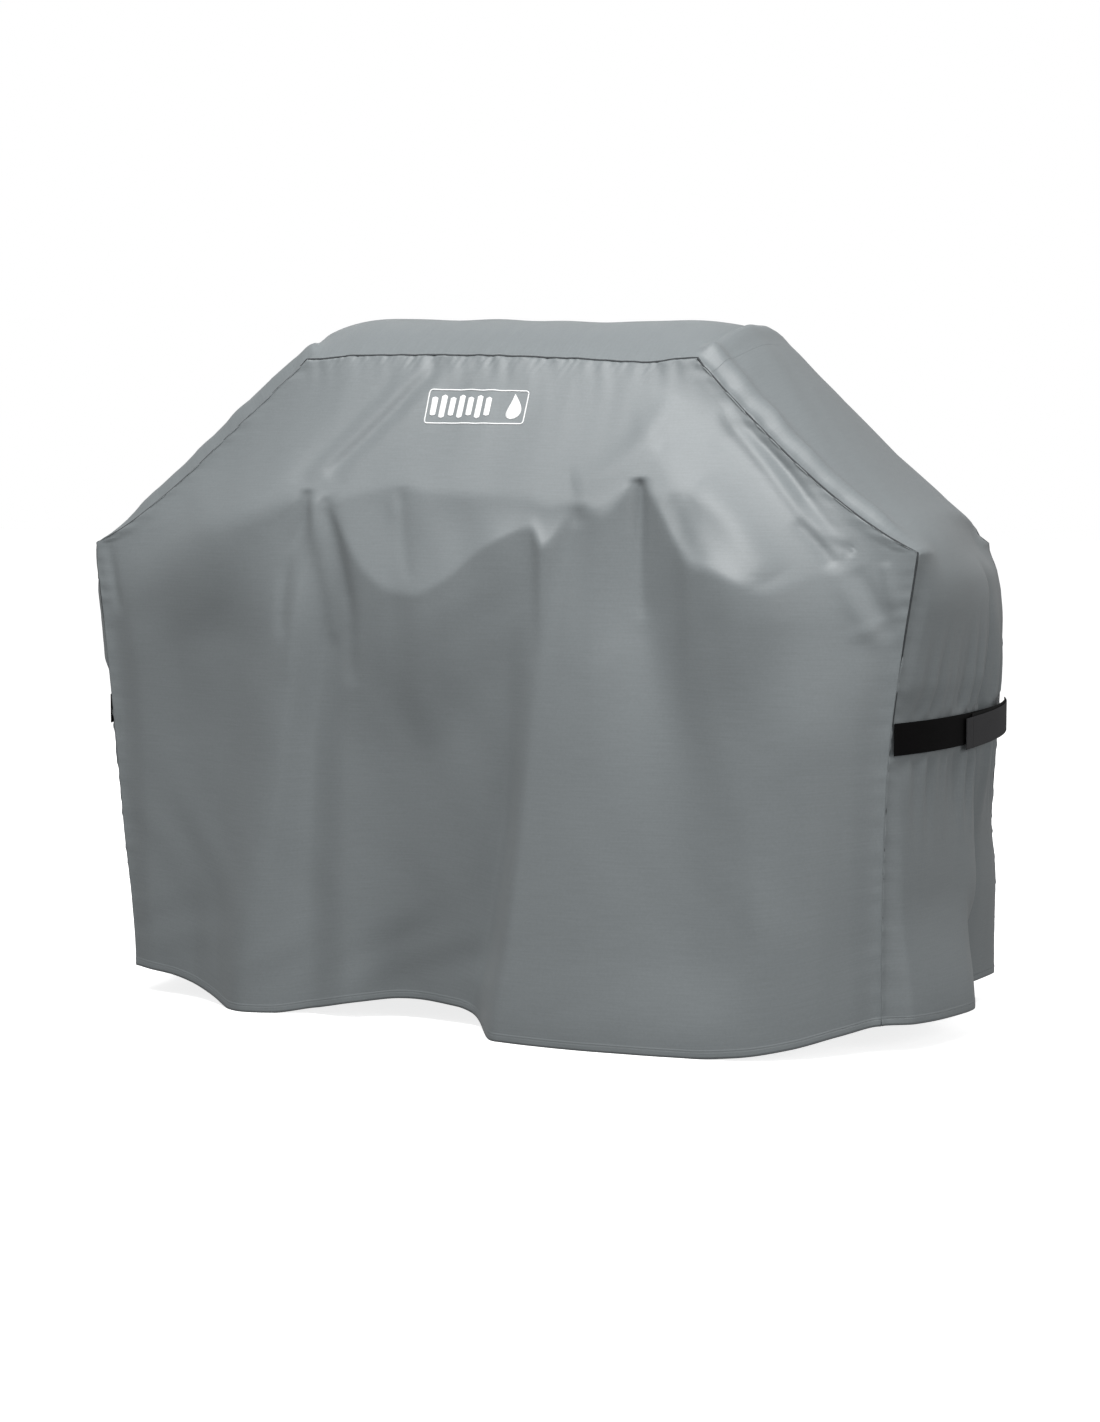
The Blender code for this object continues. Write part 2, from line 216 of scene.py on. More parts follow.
# How far each corner's seam stands outside the seam outline as it hangs on the grill.
CORNER_SHIFT = {
    (-1, -1): [(0.046, -0.012), (0.15, -0.006), (0.30, 0.006), (0.55, 0.012), (0.75, 0.013), (0.80, 0.008),
               (0.86, 0.014), (0.95, 0.016), (1.05, 0.006), (1.10, 0.0)],
    (-1, 1): [(0.046, 0.004), (0.45, 0.0), (0.79, 0.013), (0.95, 0.005), (1.10, 0.0)],
    (1, -1): [(0.046, 0.0), (0.50, 0.0), (0.56, 0.003), (0.600, -0.002), (0.640, 0.002), (0.660, -0.004),
              (0.676, 0.004), (0.72, 0.0), (1.10, 0.0)],
    (1, 1): [(0.046, 0.026), (0.20, 0.026), (0.32, 0.014), (0.45, 0.014), (0.55, 0.011), (0.66, 0.002),
             (0.74, -0.018), (0.79, -0.040), (0.825, -0.004), (0.87, 0.006), (1.00, 0.004), (1.05, -0.004),
             (1.10, -0.008)],
}


def corner_shift(facing, side, height):
    """Outward distance in x of a corner's seam; facing -1 is the front and side -1 the left."""
    return through(height, CORNER_SHIFT[facing, side])


def seam_open(height):
    """How far the seam gapes: pulled open above the straps, and closed, 0.25, below them."""
    return 0.25 + 0.75 * ease((height - 0.58) / 0.10)


def soft_seam_y(height):
    """seam_y with its bend at the shoulder rounded: the mean of 15 heights up to 8 cm either way."""
    return sum(seam_y(height + step) for step in np.linspace(-0.08, 0.08, 15)) / 15.0


def soft_seam_x(height):
    """seam_x with its bend at the shoulder rounded: the mean of 21 heights up to 11 cm either way."""
    return sum(seam_x(height + step) for step in np.linspace(-0.11, 0.11, 21)) / 21.0


def rows_between(stops):
    """Row heights from (height, step) stops: each stretch is cut into equal steps of about that size."""
    heights = [stops[0][0]]
    for (low, _), (high, step) in zip(stops[:-1], stops[1:]):
        count = max(1, round((high - low) / step))
        heights.extend(np.linspace(low, high, count + 1)[1:])
    return np.array(heights)


HEM_TOP = HEM_LIFT + HEM_TURN
PANEL_ROWS = rows_between([
    (HEM_LIFT, 0.0), (HEM_TOP - 0.001, 0.005), (HEM_TOP + 0.001, 0.001), (HEM_TOP + 0.006, 0.005),
    (0.680, 0.009), (0.930, 0.0036), (1.060, 0.006), (TOP_SEAM_HEIGHT, 0.003),
])


def turn_down(height, edge, half):
    """Height lost from the top seam down to a height while the slope eases in above an edge."""
    start = ease_area((TOP_SEAM_HEIGHT - edge + half) / (2.0 * half))
    return 2.0 * half * (start - ease_area((height - edge + half) / (2.0 * half)))


def lean_out(x, height, lid_slope, ledge):
    """How far the cloth stands out in y below the top seam.

    It leans out at the lid's slope down to the ledge's upper edge, then at the swag's own slope
    down to its lower edge, where a rim leans out more, and hangs plumb below it.
    """
    upper, lower = through(x, ledge["upper"]), through(x, ledge["lower"])
    half_upper, half_lower = through(x, ledge["upper_round"]), through(x, ledge["lower_round"])
    swag, rim = through(x, ledge["swag_slope"]), through(x, ledge["rim_slope"])
    reach = 0.45 * np.maximum(upper - lower, 0.02)
    return (
        (lid_slope - swag) * turn_down(height, np.maximum(upper, lower), half_upper)
        + swag * turn_down(height, lower, half_lower)
        + rim * (turn_down(height, lower, half_lower) - turn_down(height, lower + reach, reach))
    )


def skirt(x, height, lines):
    """The hanging folds: each line is a ridge or a valley that runs down through four levels.

    A line holds (x, y) at each level; a level curve goes smoothly through all lines at a height.
    """
    levels = np.array([HEM_LIFT, 0.20, 0.45, 0.75])
    table = np.array(lines)[:, ::-1]
    out = np.empty_like(x)
    for row, h in enumerate(height[:, 0]):
        at = [through(h, np.stack([levels, line[:, 0]], 1)) for line in table]
        deep = [through(h, np.stack([levels, line[:, 1]], 1)) for line in table]
        edge, seam = float(seam_x(h)), float(seam_y(h))
        knots = [(-edge, seam), *zip(at, deep), (edge, seam)]
        out[row] = through(x[row], knots)
    return out


FOLD_STEPS = 24
FOLD_FADE = 0.45


def fold(x, height, line, reach, lift):
    """A ridge, or a valley for a negative lift, along a line of (x, height, strength) points.

    Its section is a bell: lift times strength times exp(-(distance / reach)^2). Both ends fade out.
    """
    line = np.array(line, float)
    steps = np.linspace(0.0, len(line) - 1.0, FOLD_STEPS * (len(line) - 1) + 1)
    number = np.arange(len(line))
    stations = np.stack([through(steps, np.stack([number, line[:, k]], 1)) for k in range(3)], 1)
    stations[:, 2] *= ease(np.minimum(steps, steps[::-1]) / FOLD_FADE)
    near = np.full(x.shape, 1e9)
    strength = np.zeros(x.shape)
    for sx, sz, force in stations:
        distance = (x - sx) ** 2 + (height - sz) ** 2
        closer = distance < near
        near = np.where(closer, distance, near)
        strength = np.where(closer, force, strength)
    return lift * strength * np.exp(-near / reach**2)


def ripple(along):
    """An uneven wave of about one crest per unit, between -1 and 1: three sines with no common beat."""
    return (
        0.55 * np.sin(2.0 * math.pi * along + 1.9 * np.sin(2.0 * math.pi * 0.29 * along))
        + 0.30 * np.sin(2.0 * math.pi * 1.73 * along + 0.8)
        + 0.15 * np.sin(2.0 * math.pi * 0.47 * along + 2.1)
    )


def seam_puckers(along, distance, pitch, reach, lift):
    """Small wrinkles that start at a seam and die out: an uneven wave that fades with the distance."""
    return lift * ripple(along / pitch) * np.exp(-distance / reach)


def top_seam_wave(x, side):
    """Rise and fall of the top seam, which rides up where the lid is highest; side -1 is the front."""
    if side < 0:
        knots = [(-0.358, 0.004), (-0.25, 0.009), (-0.04, 0.006), (0.14, -0.002), (0.275, -0.010),
                 (0.32, -0.006), (0.358, -0.004)]
    else:
        knots = [(-0.358, 0.0), (-0.20, -0.006), (0.0, 0.004), (0.2, -0.003), (0.358, 0.0)]
    return through(x, knots) + 0.0008 * ripple(x / 0.06)


def panel_depth(x, share, height, lid_slope, ledge, lines, folds):
    """|y| of a front or back panel: the lean over the lid and swags, handed over to the skirt's folds.

    Towards its side seams it comes back to the seam line. Folds and puckers are added on top.
    """
    seam = seam_y(height)
    lean = TOP_DEPTH / 2 + lean_out(x, height, lid_slope, ledge)
    side = (1.0 - np.abs(share)) * seam_x(height)
    spread = np.clip(np.abs(x) / soft_seam_x(height), 0.0, 1.0)
    edge = 1.0 - ease((spread - ledge["flat_share"]) / (1.0 - ledge["flat_share"]))
    edge = edge * ease(side / 0.03)
    rounded = seam + (soft_seam_y(height) - seam) * ease(side / 0.04)
    rounded = np.where(height > 1.02, seam, rounded)
    upper = rounded + (lean - rounded) * edge
    hand_over = ease((through(x, ledge["lower"]) - height + 0.012) / through(x, ledge["hand_over"]))
    depth = upper * (1.0 - hand_over) + skirt(x, height, lines) * hand_over
    quiet = ease(side / 0.03)
    for line, reach, lift in folds:
        depth = depth + quiet * fold(x, height, line, reach, lift)
    below_top = TOP_SEAM_HEIGHT - height
    depth = depth + seam_puckers(x + 0.55 * below_top, below_top, 0.021, 0.011, 0.0015)
    depth = depth + seam_puckers(x - 0.30 * below_top, below_top, 0.047, 0.022, 0.0014)
    depth = depth + seam_puckers(height, side, 0.040, 0.016, 0.0016) * ease(side / 0.006)
    rumple = ripple(x / 0.21 + 0.4 * ripple(height / 0.5)) * ripple(height / 0.33 + x)
    return depth + 0.0022 * quiet * rumple


EDGE_SHARE = 0.9965


def panel_points(columns, rows, facing, hem_line, **shape):
    """Rows by columns of points of a wide panel, with its hem turned up and its edges turned in.

    x is the share of the seam outline's width, y comes from panel_depth, and z is the row height
    less the hem's dip. facing is -1 for the front and 1 for the back.
    """
    share = np.linspace(-1.0, 1.0, columns + 1)[1:-1]
    share = np.concatenate([[-1.0, -EDGE_SHARE], share, [EDGE_SHARE, 1.0]])[None, :]
    height = rows[:, None]
    x = share * seam_x(height)
    x = x + ease(np.maximum(share, 0.0)) * corner_shift(facing, 1, height)
    x = x - ease(np.maximum(-share, 0.0)) * corner_shift(facing, -1, height)
    height = height + 0.0 * x
    depth = panel_depth(x, share + 0.0 * height, height, **shape)
    fade = 1.0 - ease((height - HEM_LIFT - HEM_BAND) / DROP_FADE_HEIGHT)
    z = height - (HEM_LIFT - through(x, hem_line)) * fade
    z = z + top_seam_wave(x, facing) * ease((height - 0.90) / (TOP_SEAM_HEIGHT - 0.90))
    depth = depth + HEM_EXTRA * (height < HEM_TOP)
    return np.stack([x, facing * depth, z], axis=-1)


def turn_edges(points, facing):
    """Adds the seam allowance: a column at each side and a row at the top, turned inwards."""
    points = points.copy()
    show = SEAM_SHOW * seam_open(points[:, 0, 2])
    points[:, 0, 0] += show
    points[:, -1, 0] -= show
    left = points[:, :1] + (TURN_LEAN, -facing * SEAM_TURN, 0.0)
    right = points[:, -1:] + (-TURN_LEAN, -facing * SEAM_TURN, 0.0)
    points = np.concatenate([left, points, right], axis=1)
    top = points[-1:] + (0.0, -facing * TOP_TURN, TOP_TURN_RISE)
    return np.concatenate([points, top], axis=0)


def cells(index):
    """The four corners of each cell in a grid of point numbers, in turn round the cell."""
    corners = [index[:-1, :-1], index[:-1, 1:], index[1:, 1:], index[1:, :-1]]
    return np.stack(corners, -1).reshape(-1, 4)


def cell_normals(points, quads):
    """The normal of each cell, from its first corner to the two beside it; its length is the area."""
    first, second, last = (points.reshape(-1, 3)[quads[:, k]] for k in (0, 1, 3))
    return np.cross(second - first, last - first)


def run_along(line):
    """The distance of each point of a line from its start, measured along the line."""
    return np.concatenate([[0.0], np.cumsum(np.linalg.norm(np.diff(line, axis=0), axis=1))])


def smooth_mesh(name, points, faces, flat=None):
    """A smooth mesh of a grid of points; flat gives each point's place on the flat cloth as UVs."""
    mesh = bpy.data.meshes.new(name)
    mesh.from_pydata(points.reshape(-1, 3).tolist(), [], faces)
    if flat is not None:
        corner = np.concatenate([np.array(face) for face in faces])
        layer = mesh.uv_layers.new(name="cloth")
        layer.data.foreach_set("uv", flat.reshape(-1, 2)[corner].astype(np.float32).ravel())
    mesh.shade_smooth()
    return mesh


def grid_mesh(name, points, flat, outwards):
    """A mesh of rows by columns of points, its faces turned so that they look along outwards."""
    quads = cells(np.arange(points.shape[0] * points.shape[1]).reshape(points.shape[:2]))
    if (cell_normals(points, quads) * outwards).sum() < 0.0:
        quads = quads[:, ::-1]
    return smooth_mesh(name, points, quads.tolist(), flat)


def add_piece(name, mesh, material, thickness=0.0):
    """Puts a mesh in the scene as a piece, thickened inwards if a thickness is given."""
    piece = bpy.data.objects.new(name, mesh)
    bpy.context.scene.collection.objects.link(piece)
    mesh.materials.append(material)
    if thickness:
        solid = piece.modifiers.new("thickness", "SOLIDIFY")
        solid.thickness = thickness
        solid.offset = -1.0
    return piece


def new_group(name, inputs, outputs):
    """An empty shader node group with float or vector inputs and float or colour outputs."""
    group = bpy.data.node_groups.new(name, "ShaderNodeTree")
    for label, kind, value in inputs:
        socket = group.interface.new_socket(label, in_out="INPUT", socket_type=kind)
        if value is not None:
            socket.default_value = value
    for label, kind in outputs:
        group.interface.new_socket(label, in_out="OUTPUT", socket_type=kind)
    return group, group.nodes.new("NodeGroupInput"), group.nodes.new("NodeGroupOutput")


def calculate(tree, operation, *values):
    """A Math node whose inputs are sockets or plain numbers; returns its output."""
    node = tree.nodes.new("ShaderNodeMath")
    node.operation = operation
    for socket, value in zip(node.inputs, values):
        if isinstance(value, (int, float)):
            socket.default_value = value
        else:
            tree.links.new(value, socket)
    return node.outputs[0]


def weighted_sum(tree, start, *terms):
    """start plus each socket times its factor; returns the last output."""
    total = start
    for socket, factor in terms:
        total = calculate(tree, "MULTIPLY_ADD", socket, factor, total)
    return total


def noise(tree, vector, scale, detail=3.0, roughness=0.5, stretch=(1.0, 1.0, 1.0)):
    """Noise of a scale in crests per metre, stretched by a factor on each axis; returns its value."""
    mapping = tree.nodes.new("ShaderNodeMapping")
    mapping.inputs["Scale"].default_value = stretch
    tree.links.new(vector, mapping.inputs["Vector"])
    node = tree.nodes.new("ShaderNodeTexNoise")
    node.inputs["Scale"].default_value = scale
    node.inputs["Detail"].default_value = detail
    node.inputs["Roughness"].default_value = roughness
    tree.links.new(mapping.outputs[0], node.inputs["Vector"])
    return node.outputs[0]


def weave_group():
    """Plain weave with uneven threads: fine crossed threads, and faint long slubs along the width."""
    group, given, result = new_group(
        "plain weave",
        [("Flat", "NodeSocketVector", None), ("Threads per metre", "NodeSocketFloat", 1400.0)],
        [("Tone", "NodeSocketFloat"), ("Height", "NodeSocketFloat")],
    )
    flat = given.outputs["Flat"]
    split = group.nodes.new("ShaderNodeSeparateXYZ")
    group.links.new(flat, split.inputs[0])
    turns = calculate(group, "MULTIPLY", given.outputs["Threads per metre"], math.pi)
    warp = calculate(group, "SINE", calculate(group, "MULTIPLY", split.outputs["X"], turns))
    weft = calculate(group, "SINE", calculate(group, "MULTIPLY", split.outputs["Y"], turns))
    threads = calculate(group, "MULTIPLY", warp, weft)
    slubs = noise(group, flat, 1.0, 2.0, 0.6, (14.0, 420.0, 1.0))
    group.links.new(calculate(group, "SUBTRACT", slubs, 0.5), result.inputs["Tone"])
    group.links.new(weighted_sum(group, slubs, (threads, 0.35)), result.inputs["Height"])
    return group


def stitch_group():
    """A row of stitches at a height above the hem: dashes along the width, 1 on the thread."""
    group, given, result = new_group(
        "stitch row",
        [("Flat", "NodeSocketVector", None), ("Height", "NodeSocketFloat", 0.017),
         ("Pitch", "NodeSocketFloat", 0.0042), ("Half width", "NodeSocketFloat", 0.0007)],
        [("Thread", "NodeSocketFloat"), ("Furrow", "NodeSocketFloat")],
    )
    split = group.nodes.new("ShaderNodeSeparateXYZ")
    group.links.new(given.outputs["Flat"], split.inputs[0])
    away = calculate(group, "SUBTRACT", split.outputs["Y"], given.outputs["Height"])
    away = calculate(group, "ABSOLUTE", away)
    near = calculate(group, "DIVIDE", away, given.outputs["Half width"])
    inside = calculate(group, "LESS_THAN", near, 1.0)
    step = calculate(group, "FRACT", calculate(group, "DIVIDE", split.outputs["X"], given.outputs["Pitch"]))
    dash = calculate(group, "LESS_THAN", step, 0.72)
    group.links.new(calculate(group, "MULTIPLY", inside, dash), result.inputs["Thread"])
    # Furrow: 1 on the stitch line, falling to 0 at 2.5 half widths away; the cloth material sinks the cloth
    # there and darkens its colour there as painted shade.
    fall = weighted_sum(group, 1.0, (near, -0.4))
    group.links.new(calculate(group, "MAXIMUM", fall, 0.0), result.inputs["Furrow"])
    return group


def dust_group():
    """Slow, cloudy change over a surface, from -0.5 to 0.5: handling marks and settled dust."""
    group, given, result = new_group(
        "dust", [("Place", "NodeSocketVector", None), ("Scale", "NodeSocketFloat", 3.0)],
        [("Cloud", "NodeSocketFloat"), ("Speck", "NodeSocketFloat")],
    )
    cloud = group.nodes.new("ShaderNodeTexNoise")
    cloud.inputs["Detail"].default_value = 4.0
    group.links.new(given.outputs["Place"], cloud.inputs["Vector"])
    group.links.new(given.outputs["Scale"], cloud.inputs["Scale"])
    group.links.new(calculate(group, "SUBTRACT", cloud.outputs[0], 0.5), result.inputs["Cloud"])
    speck = noise(group, given.outputs["Place"], 260.0, 2.0, 0.7)
    group.links.new(calculate(group, "SUBTRACT", speck, 0.5), result.inputs["Speck"])
    return group


WEAVE, STITCH, DUST = weave_group(), stitch_group(), dust_group()


def place_group(tree, group, **values):
    """Puts a group in a material; each value is a socket or a number, _ standing for a space."""
    node = tree.nodes.new("ShaderNodeGroup")
    node.node_tree = group
    for label, value in values.items():
        socket = node.inputs[label.replace("_", " ")]
        if isinstance(value, (int, float)):
            socket.default_value = value
        else:
            tree.links.new(value, socket)
    return node


def shade(tree, dark, light, factor):
    """A colour between two colours at a factor from 0 to 1."""
    mix = tree.nodes.new("ShaderNodeMix")
    mix.data_type = "RGBA"
    tree.links.new(factor, mix.inputs["Factor"])
    mix.inputs["A"].default_value = (*dark, 1.0)
    mix.inputs["B"].default_value = (*light, 1.0)
    return mix.outputs["Result"]


WEAVE_RELIEF = 0.00006
STITCH_HEIGHT = 0.0112
THREAD_RELIEF = 0.0005
FURROW_DEPTH = 0.0004


def new_material(name):
    """A node material; returns it with its node tree and its Principled shader."""
    material = bpy.data.materials.new(name)
    material.use_nodes = True
    return material, material.node_tree, material.node_tree.nodes["Principled BSDF"]


def add_bump(tree, shader, height):
    """Feeds a height in metres to a shader's normal."""
    bump = tree.nodes.new("ShaderNodeBump")
    bump.inputs["Strength"].default_value = 1.0
    bump.inputs["Distance"].default_value = 1.0
    tree.links.new(height, bump.inputs["Height"])
    tree.links.new(bump.outputs[0], shader.inputs["Normal"])


def cloth_material(name, colour, hem_stitches):
    """Coated polyester: the weave shows faintly through a semi-matt coating that catches a broad sheen."""
    material, tree, shader = new_material(name)
    shader.inputs["Specular IOR Level"].default_value = 0.5
    shader.inputs["Sheen Weight"].default_value = 0.08
    shader.inputs["Sheen Roughness"].default_value = 0.5
    uv = tree.nodes.new("ShaderNodeUVMap")
    uv.uv_map = "cloth"
    place = tree.nodes.new("ShaderNodeTexCoord").outputs["Object"]
    weave = place_group(tree, WEAVE, Flat=uv.outputs[0])
    dust = place_group(tree, DUST, Place=place, Scale=2.4)
    cloud, speck = dust.outputs["Cloud"], dust.outputs["Speck"]
    tone = weighted_sum(tree, 0.5, (weave.outputs["Tone"], 0.9), (cloud, 0.5), (speck, 0.9))
    height = calculate(tree, "MULTIPLY", weave.outputs["Height"], WEAVE_RELIEF)
    if hem_stitches:
        row = place_group(tree, STITCH, Flat=uv.outputs[0], Height=STITCH_HEIGHT)
        furrow, thread = row.outputs["Furrow"], row.outputs["Thread"]
        # Painted shade: the colour is darkened along the stitch row's furrow, where the cloth dips and shade
        # falls along the hem stitching.
        tone = weighted_sum(tree, tone, (furrow, -0.9))
        height = weighted_sum(tree, height, (thread, THREAD_RELIEF), (furrow, -FURROW_DEPTH))
    dark = tuple(0.90 * part for part in colour)
    light = tuple(1.10 * part for part in colour)
    tree.links.new(shade(tree, dark, light, tone), shader.inputs["Base Color"])
    tree.links.new(weighted_sum(tree, 0.46, (cloud, 0.12)), shader.inputs["Roughness"])
    add_bump(tree, shader, height)
    return material


CLOTH_COLOUR = (0.196, 0.216, 0.224)
panel_cloth = cloth_material("grey coated polyester", CLOTH_COLOUR, True)

FRONT_LEDGE = {
    "flat_share": 0.60,
    "upper": [
        (-0.74, 0.794), (-0.65, 0.816), (-0.53, 0.839), (-0.40, 0.858), (-0.32, 0.876), (-0.297, 0.884),
        (-0.275, 0.872), (-0.252, 0.860), (-0.22, 0.874), (-0.17, 0.884), (-0.122, 0.891), (-0.07, 0.881),
        (0.02, 0.878), (0.10, 0.874), (0.15, 0.862), (0.195, 0.866), (0.235, 0.858), (0.275, 0.886),
        (0.300, 0.904), (0.325, 0.884), (0.345, 0.872), (0.380, 0.888), (0.42, 0.866), (0.50, 0.844),
        (0.62, 0.829), (0.74, 0.809),
    ],
    "lower": [
        (-0.74, 0.774), (-0.65, 0.794), (-0.53, 0.814), (-0.40, 0.836), (-0.32, 0.862), (-0.297, 0.878),
        (-0.275, 0.862), (-0.250, 0.854), (-0.213, 0.802), (-0.173, 0.752), (-0.125, 0.722), (-0.075, 0.716),
        (-0.020, 0.739), (0.030, 0.783), (0.075, 0.809), (0.125, 0.826), (0.152, 0.796), (0.172, 0.820),
        (0.200, 0.856), (0.247, 0.846), (0.280, 0.879), (0.300, 0.902), (0.322, 0.879), (0.350, 0.844),
        (0.372, 0.809), (0.405, 0.774), (0.450, 0.761), (0.495, 0.742), (0.537, 0.729), (0.575, 0.744),
        (0.605, 0.757), (0.655, 0.758), (0.70, 0.752), (0.74, 0.764),
    ],
    "upper_round": [(-0.74, 0.022), (-0.40, 0.022), (-0.30, 0.010), (0.10, 0.014), (0.30, 0.008),
                    (0.45, 0.016), (0.74, 0.016)],
    "lower_round": [(-0.74, 0.026), (-0.40, 0.024), (-0.30, 0.009), (-0.20, 0.010), (0.10, 0.008),
                    (0.20, 0.014), (0.30, 0.008), (0.45, 0.012), (0.74, 0.010)],
    "swag_slope": [(-0.74, 0.30), (-0.35, 0.32), (-0.25, 0.26), (-0.12, 0.22), (0.0, 0.24), (0.10, 0.34),
                   (0.20, 0.22), (0.30, 0.34), (0.40, 0.32), (0.50, 0.46), (0.70, 0.45)],
    "rim_slope": [(-0.74, 0.0), (-0.26, 0.0), (-0.12, 0.08), (-0.05, 0.20), (0.05, 0.28), (0.10, 0.20),
                  (0.15, 0.32), (0.19, 0.0), (0.36, 0.0), (0.41, 0.18), (0.55, 0.10), (0.70, 0.0)],
    "hand_over": [(-0.74, 0.20), (-0.30, 0.24), (-0.10, 0.30), (0.10, 0.24), (0.30, 0.28), (0.74, 0.30)],
}
# Each fold line, left to right, as (x, y) at 0.75, 0.45, 0.20 and 0.046 up.
FRONT_LINES = [
    [(-0.660, 0.318), (-0.640, 0.310), (-0.635, 0.308), (-0.630, 0.310)],
    [(-0.560, 0.335), (-0.560, 0.318), (-0.550, 0.318), (-0.545, 0.322)],
    [(-0.430, 0.352), (-0.470, 0.335), (-0.490, 0.338), (-0.480, 0.352)],
    [(-0.305, 0.376), (-0.335, 0.378), (-0.385, 0.386), (-0.405, 0.392)],
    [(-0.240, 0.352), (-0.282, 0.350), (-0.288, 0.354), (-0.288, 0.360)],
    [(-0.165, 0.378), (-0.215, 0.362), (-0.219, 0.366), (-0.221, 0.372)],
    [(-0.040, 0.384), (-0.058, 0.364), (-0.100, 0.347), (-0.135, 0.334)],
    [(0.085, 0.374), (0.075, 0.362), (0.035, 0.350), (0.005, 0.348)],
    [(0.160, 0.386), (0.140, 0.404), (0.116, 0.430), (0.096, 0.444)],
    [(0.230, 0.384), (0.240, 0.410), (0.230, 0.438), (0.220, 0.455)],
    [(0.312, 0.358), (0.385, 0.392), (0.440, 0.414), (0.440, 0.440)],
    [(0.440, 0.398), (0.480, 0.402), (0.520, 0.412), (0.520, 0.424)],
    [(0.560, 0.400), (0.580, 0.384), (0.600, 0.378), (0.605, 0.378)],
    [(0.670, 0.345), (0.650, 0.336), (0.650, 0.330), (0.655, 0.328)],
]
FRONT_FOLDS = [
    ([(-0.120, 1.092, 0.6), (-0.200, 1.000, 1.0), (-0.300, 0.900, 0.7)], 0.015, 0.0034),
    ([(-0.090, 1.100, 0.6), (-0.175, 1.002, 1.0), (-0.268, 0.906, 0.8)], 0.013, -0.0048),
    ([(-0.060, 1.085, 0.4), (-0.150, 0.990, 1.0), (-0.238, 0.900, 0.6)], 0.015, 0.0030),
    ([(-0.170, 1.080, 0.4), (-0.250, 0.985, 1.0), (-0.330, 0.895, 0.5)], 0.013, -0.0020),
    ([(0.330, 1.040, 0.5), (0.286, 0.957, 1.0), (0.246, 0.918, 0.9), (0.186, 0.890, 0.4)], 0.026, 0.0050),
    ([(0.318, 1.000, 0.6), (0.328, 0.938, 1.0)], 0.012, -0.0020),
    ([(0.440, 0.985, 1.0), (0.400, 0.945, 0.5)], 0.014, -0.0025),
    ([(0.405, 1.020, 0.5), (0.467, 0.957, 1.0), (0.547, 0.871, 1.0), (0.603, 0.815, 1.0),
      (0.640, 0.786, 0.5)], 0.013, 0.0062),
    ([(0.420, 1.010, 0.3), (0.502, 0.938, 1.0), (0.548, 0.887, 1.0), (0.586, 0.840, 1.0),
      (0.621, 0.804, 1.0), (0.645, 0.788, 0.4)], 0.011, -0.0075),
    ([(0.552, 0.840, 0.5), (0.598, 0.795, 1.0), (0.618, 0.769, 0.5)], 0.010, -0.0050),
    ([(0.650, 0.765, 0.6), (0.680, 0.715, 1.0), (0.708, 0.655, 0.7)], 0.012, -0.0045),
    ([(0.622, 0.770, 0.5), (0.648, 0.715, 1.0), (0.690, 0.640, 0.5)], 0.013, 0.0036),
    ([(0.560, 0.872, 0.5), (0.600, 0.824, 1.0), (0.636, 0.800, 0.5)], 0.008, 0.0034),
    ([(0.700, 0.690, 0.8), (0.672, 0.668, 1.0), (0.640, 0.660, 0.3)], 0.009, 0.0026),
    ([(0.695, 0.776, 0.7), (0.704, 0.735, 1.0), (0.712, 0.699, 0.2)], 0.008, 0.0040),
    ([(0.397, 0.899, 0.5), (0.471, 0.829, 1.0), (0.535, 0.749, 1.0)], 0.024, 0.0050),
    ([(0.350, 0.885, 0.7), (0.385, 0.820, 1.0), (0.430, 0.765, 0.6)], 0.016, -0.0022),
    ([(-0.122, 0.890, 1.0), (-0.107, 0.803, 0.6), (-0.084, 0.735, 0.6)], 0.011, -0.0026),
    ([(-0.136, 0.892, 0.8), (-0.128, 0.820, 0.5)], 0.009, 0.0016),
    ([(-0.295, 0.885, 1.0), (-0.300, 0.842, 0.8), (-0.322, 0.781, 0.6), (-0.330, 0.734, 1.0),
      (-0.335, 0.634, 0.5)], 0.012, -0.0050),
    ([(-0.275, 0.870, 0.6), (-0.282, 0.800, 1.0), (-0.300, 0.700, 0.8), (-0.320, 0.560, 0.3)], 0.016, 0.0040),
    ([(-0.262, 0.872, 0.8), (-0.236, 0.803, 1.0), (-0.216, 0.726, 1.0), (-0.206, 0.661, 0.6),
      (-0.205, 0.560, 0.3)], 0.015, -0.0080),
    ([(-0.285, 0.880, 0.8), (-0.268, 0.800, 1.0), (-0.250, 0.715, 0.9), (-0.240, 0.630, 0.5)], 0.013, 0.0040),
    ([(-0.726, 0.795, 0.8), (-0.712, 0.740, 1.0), (-0.695, 0.670, 0.8)], 0.010, -0.0035),
    ([(0.300, 0.905, 1.0), (0.302, 0.860, 1.0), (0.304, 0.780, 0.8), (0.315, 0.680, 0.3)], 0.013, -0.0070),
    ([(0.200, 0.865, 1.0), (0.205, 0.820, 0.5)], 0.014, -0.0030),
]
FRONT_HEM = [
    (-0.70, 0.046), (-0.60, 0.040), (-0.50, 0.018), (-0.43, 0.0), (-0.36, 0.0), (-0.28, 0.012),
    (-0.20, 0.028), (-0.10, 0.036), (-0.02, 0.031), (0.04, 0.012), (0.09, 0.0), (0.42, 0.0),
    (0.50, 0.005), (0.58, 0.018), (0.64, 0.034), (0.70, 0.046),
]


def add_wide_panel(name, columns, facing, hem_line, width, shape):
    """A front or back panel piece with its UVs in metres: along the hem, and up from the hem."""
    points = panel_points(columns, PANEL_ROWS, facing, hem_line, **shape)
    points[..., 2] = np.maximum(points[..., 2], FLOOR_GAP)
    across = np.linspace(0.0, width, points.shape[1])
    flat = np.stack(np.meshgrid(across, run_along(points[:, columns // 2])), axis=-1)
    flat = np.pad(flat, ((0, 1), (1, 1), (0, 0)), mode="edge")
    mesh = grid_mesh(name, turn_edges(points, facing), flat, (0.0, float(facing), 0.3))
    return add_piece(name, mesh, panel_cloth, CLOTH)


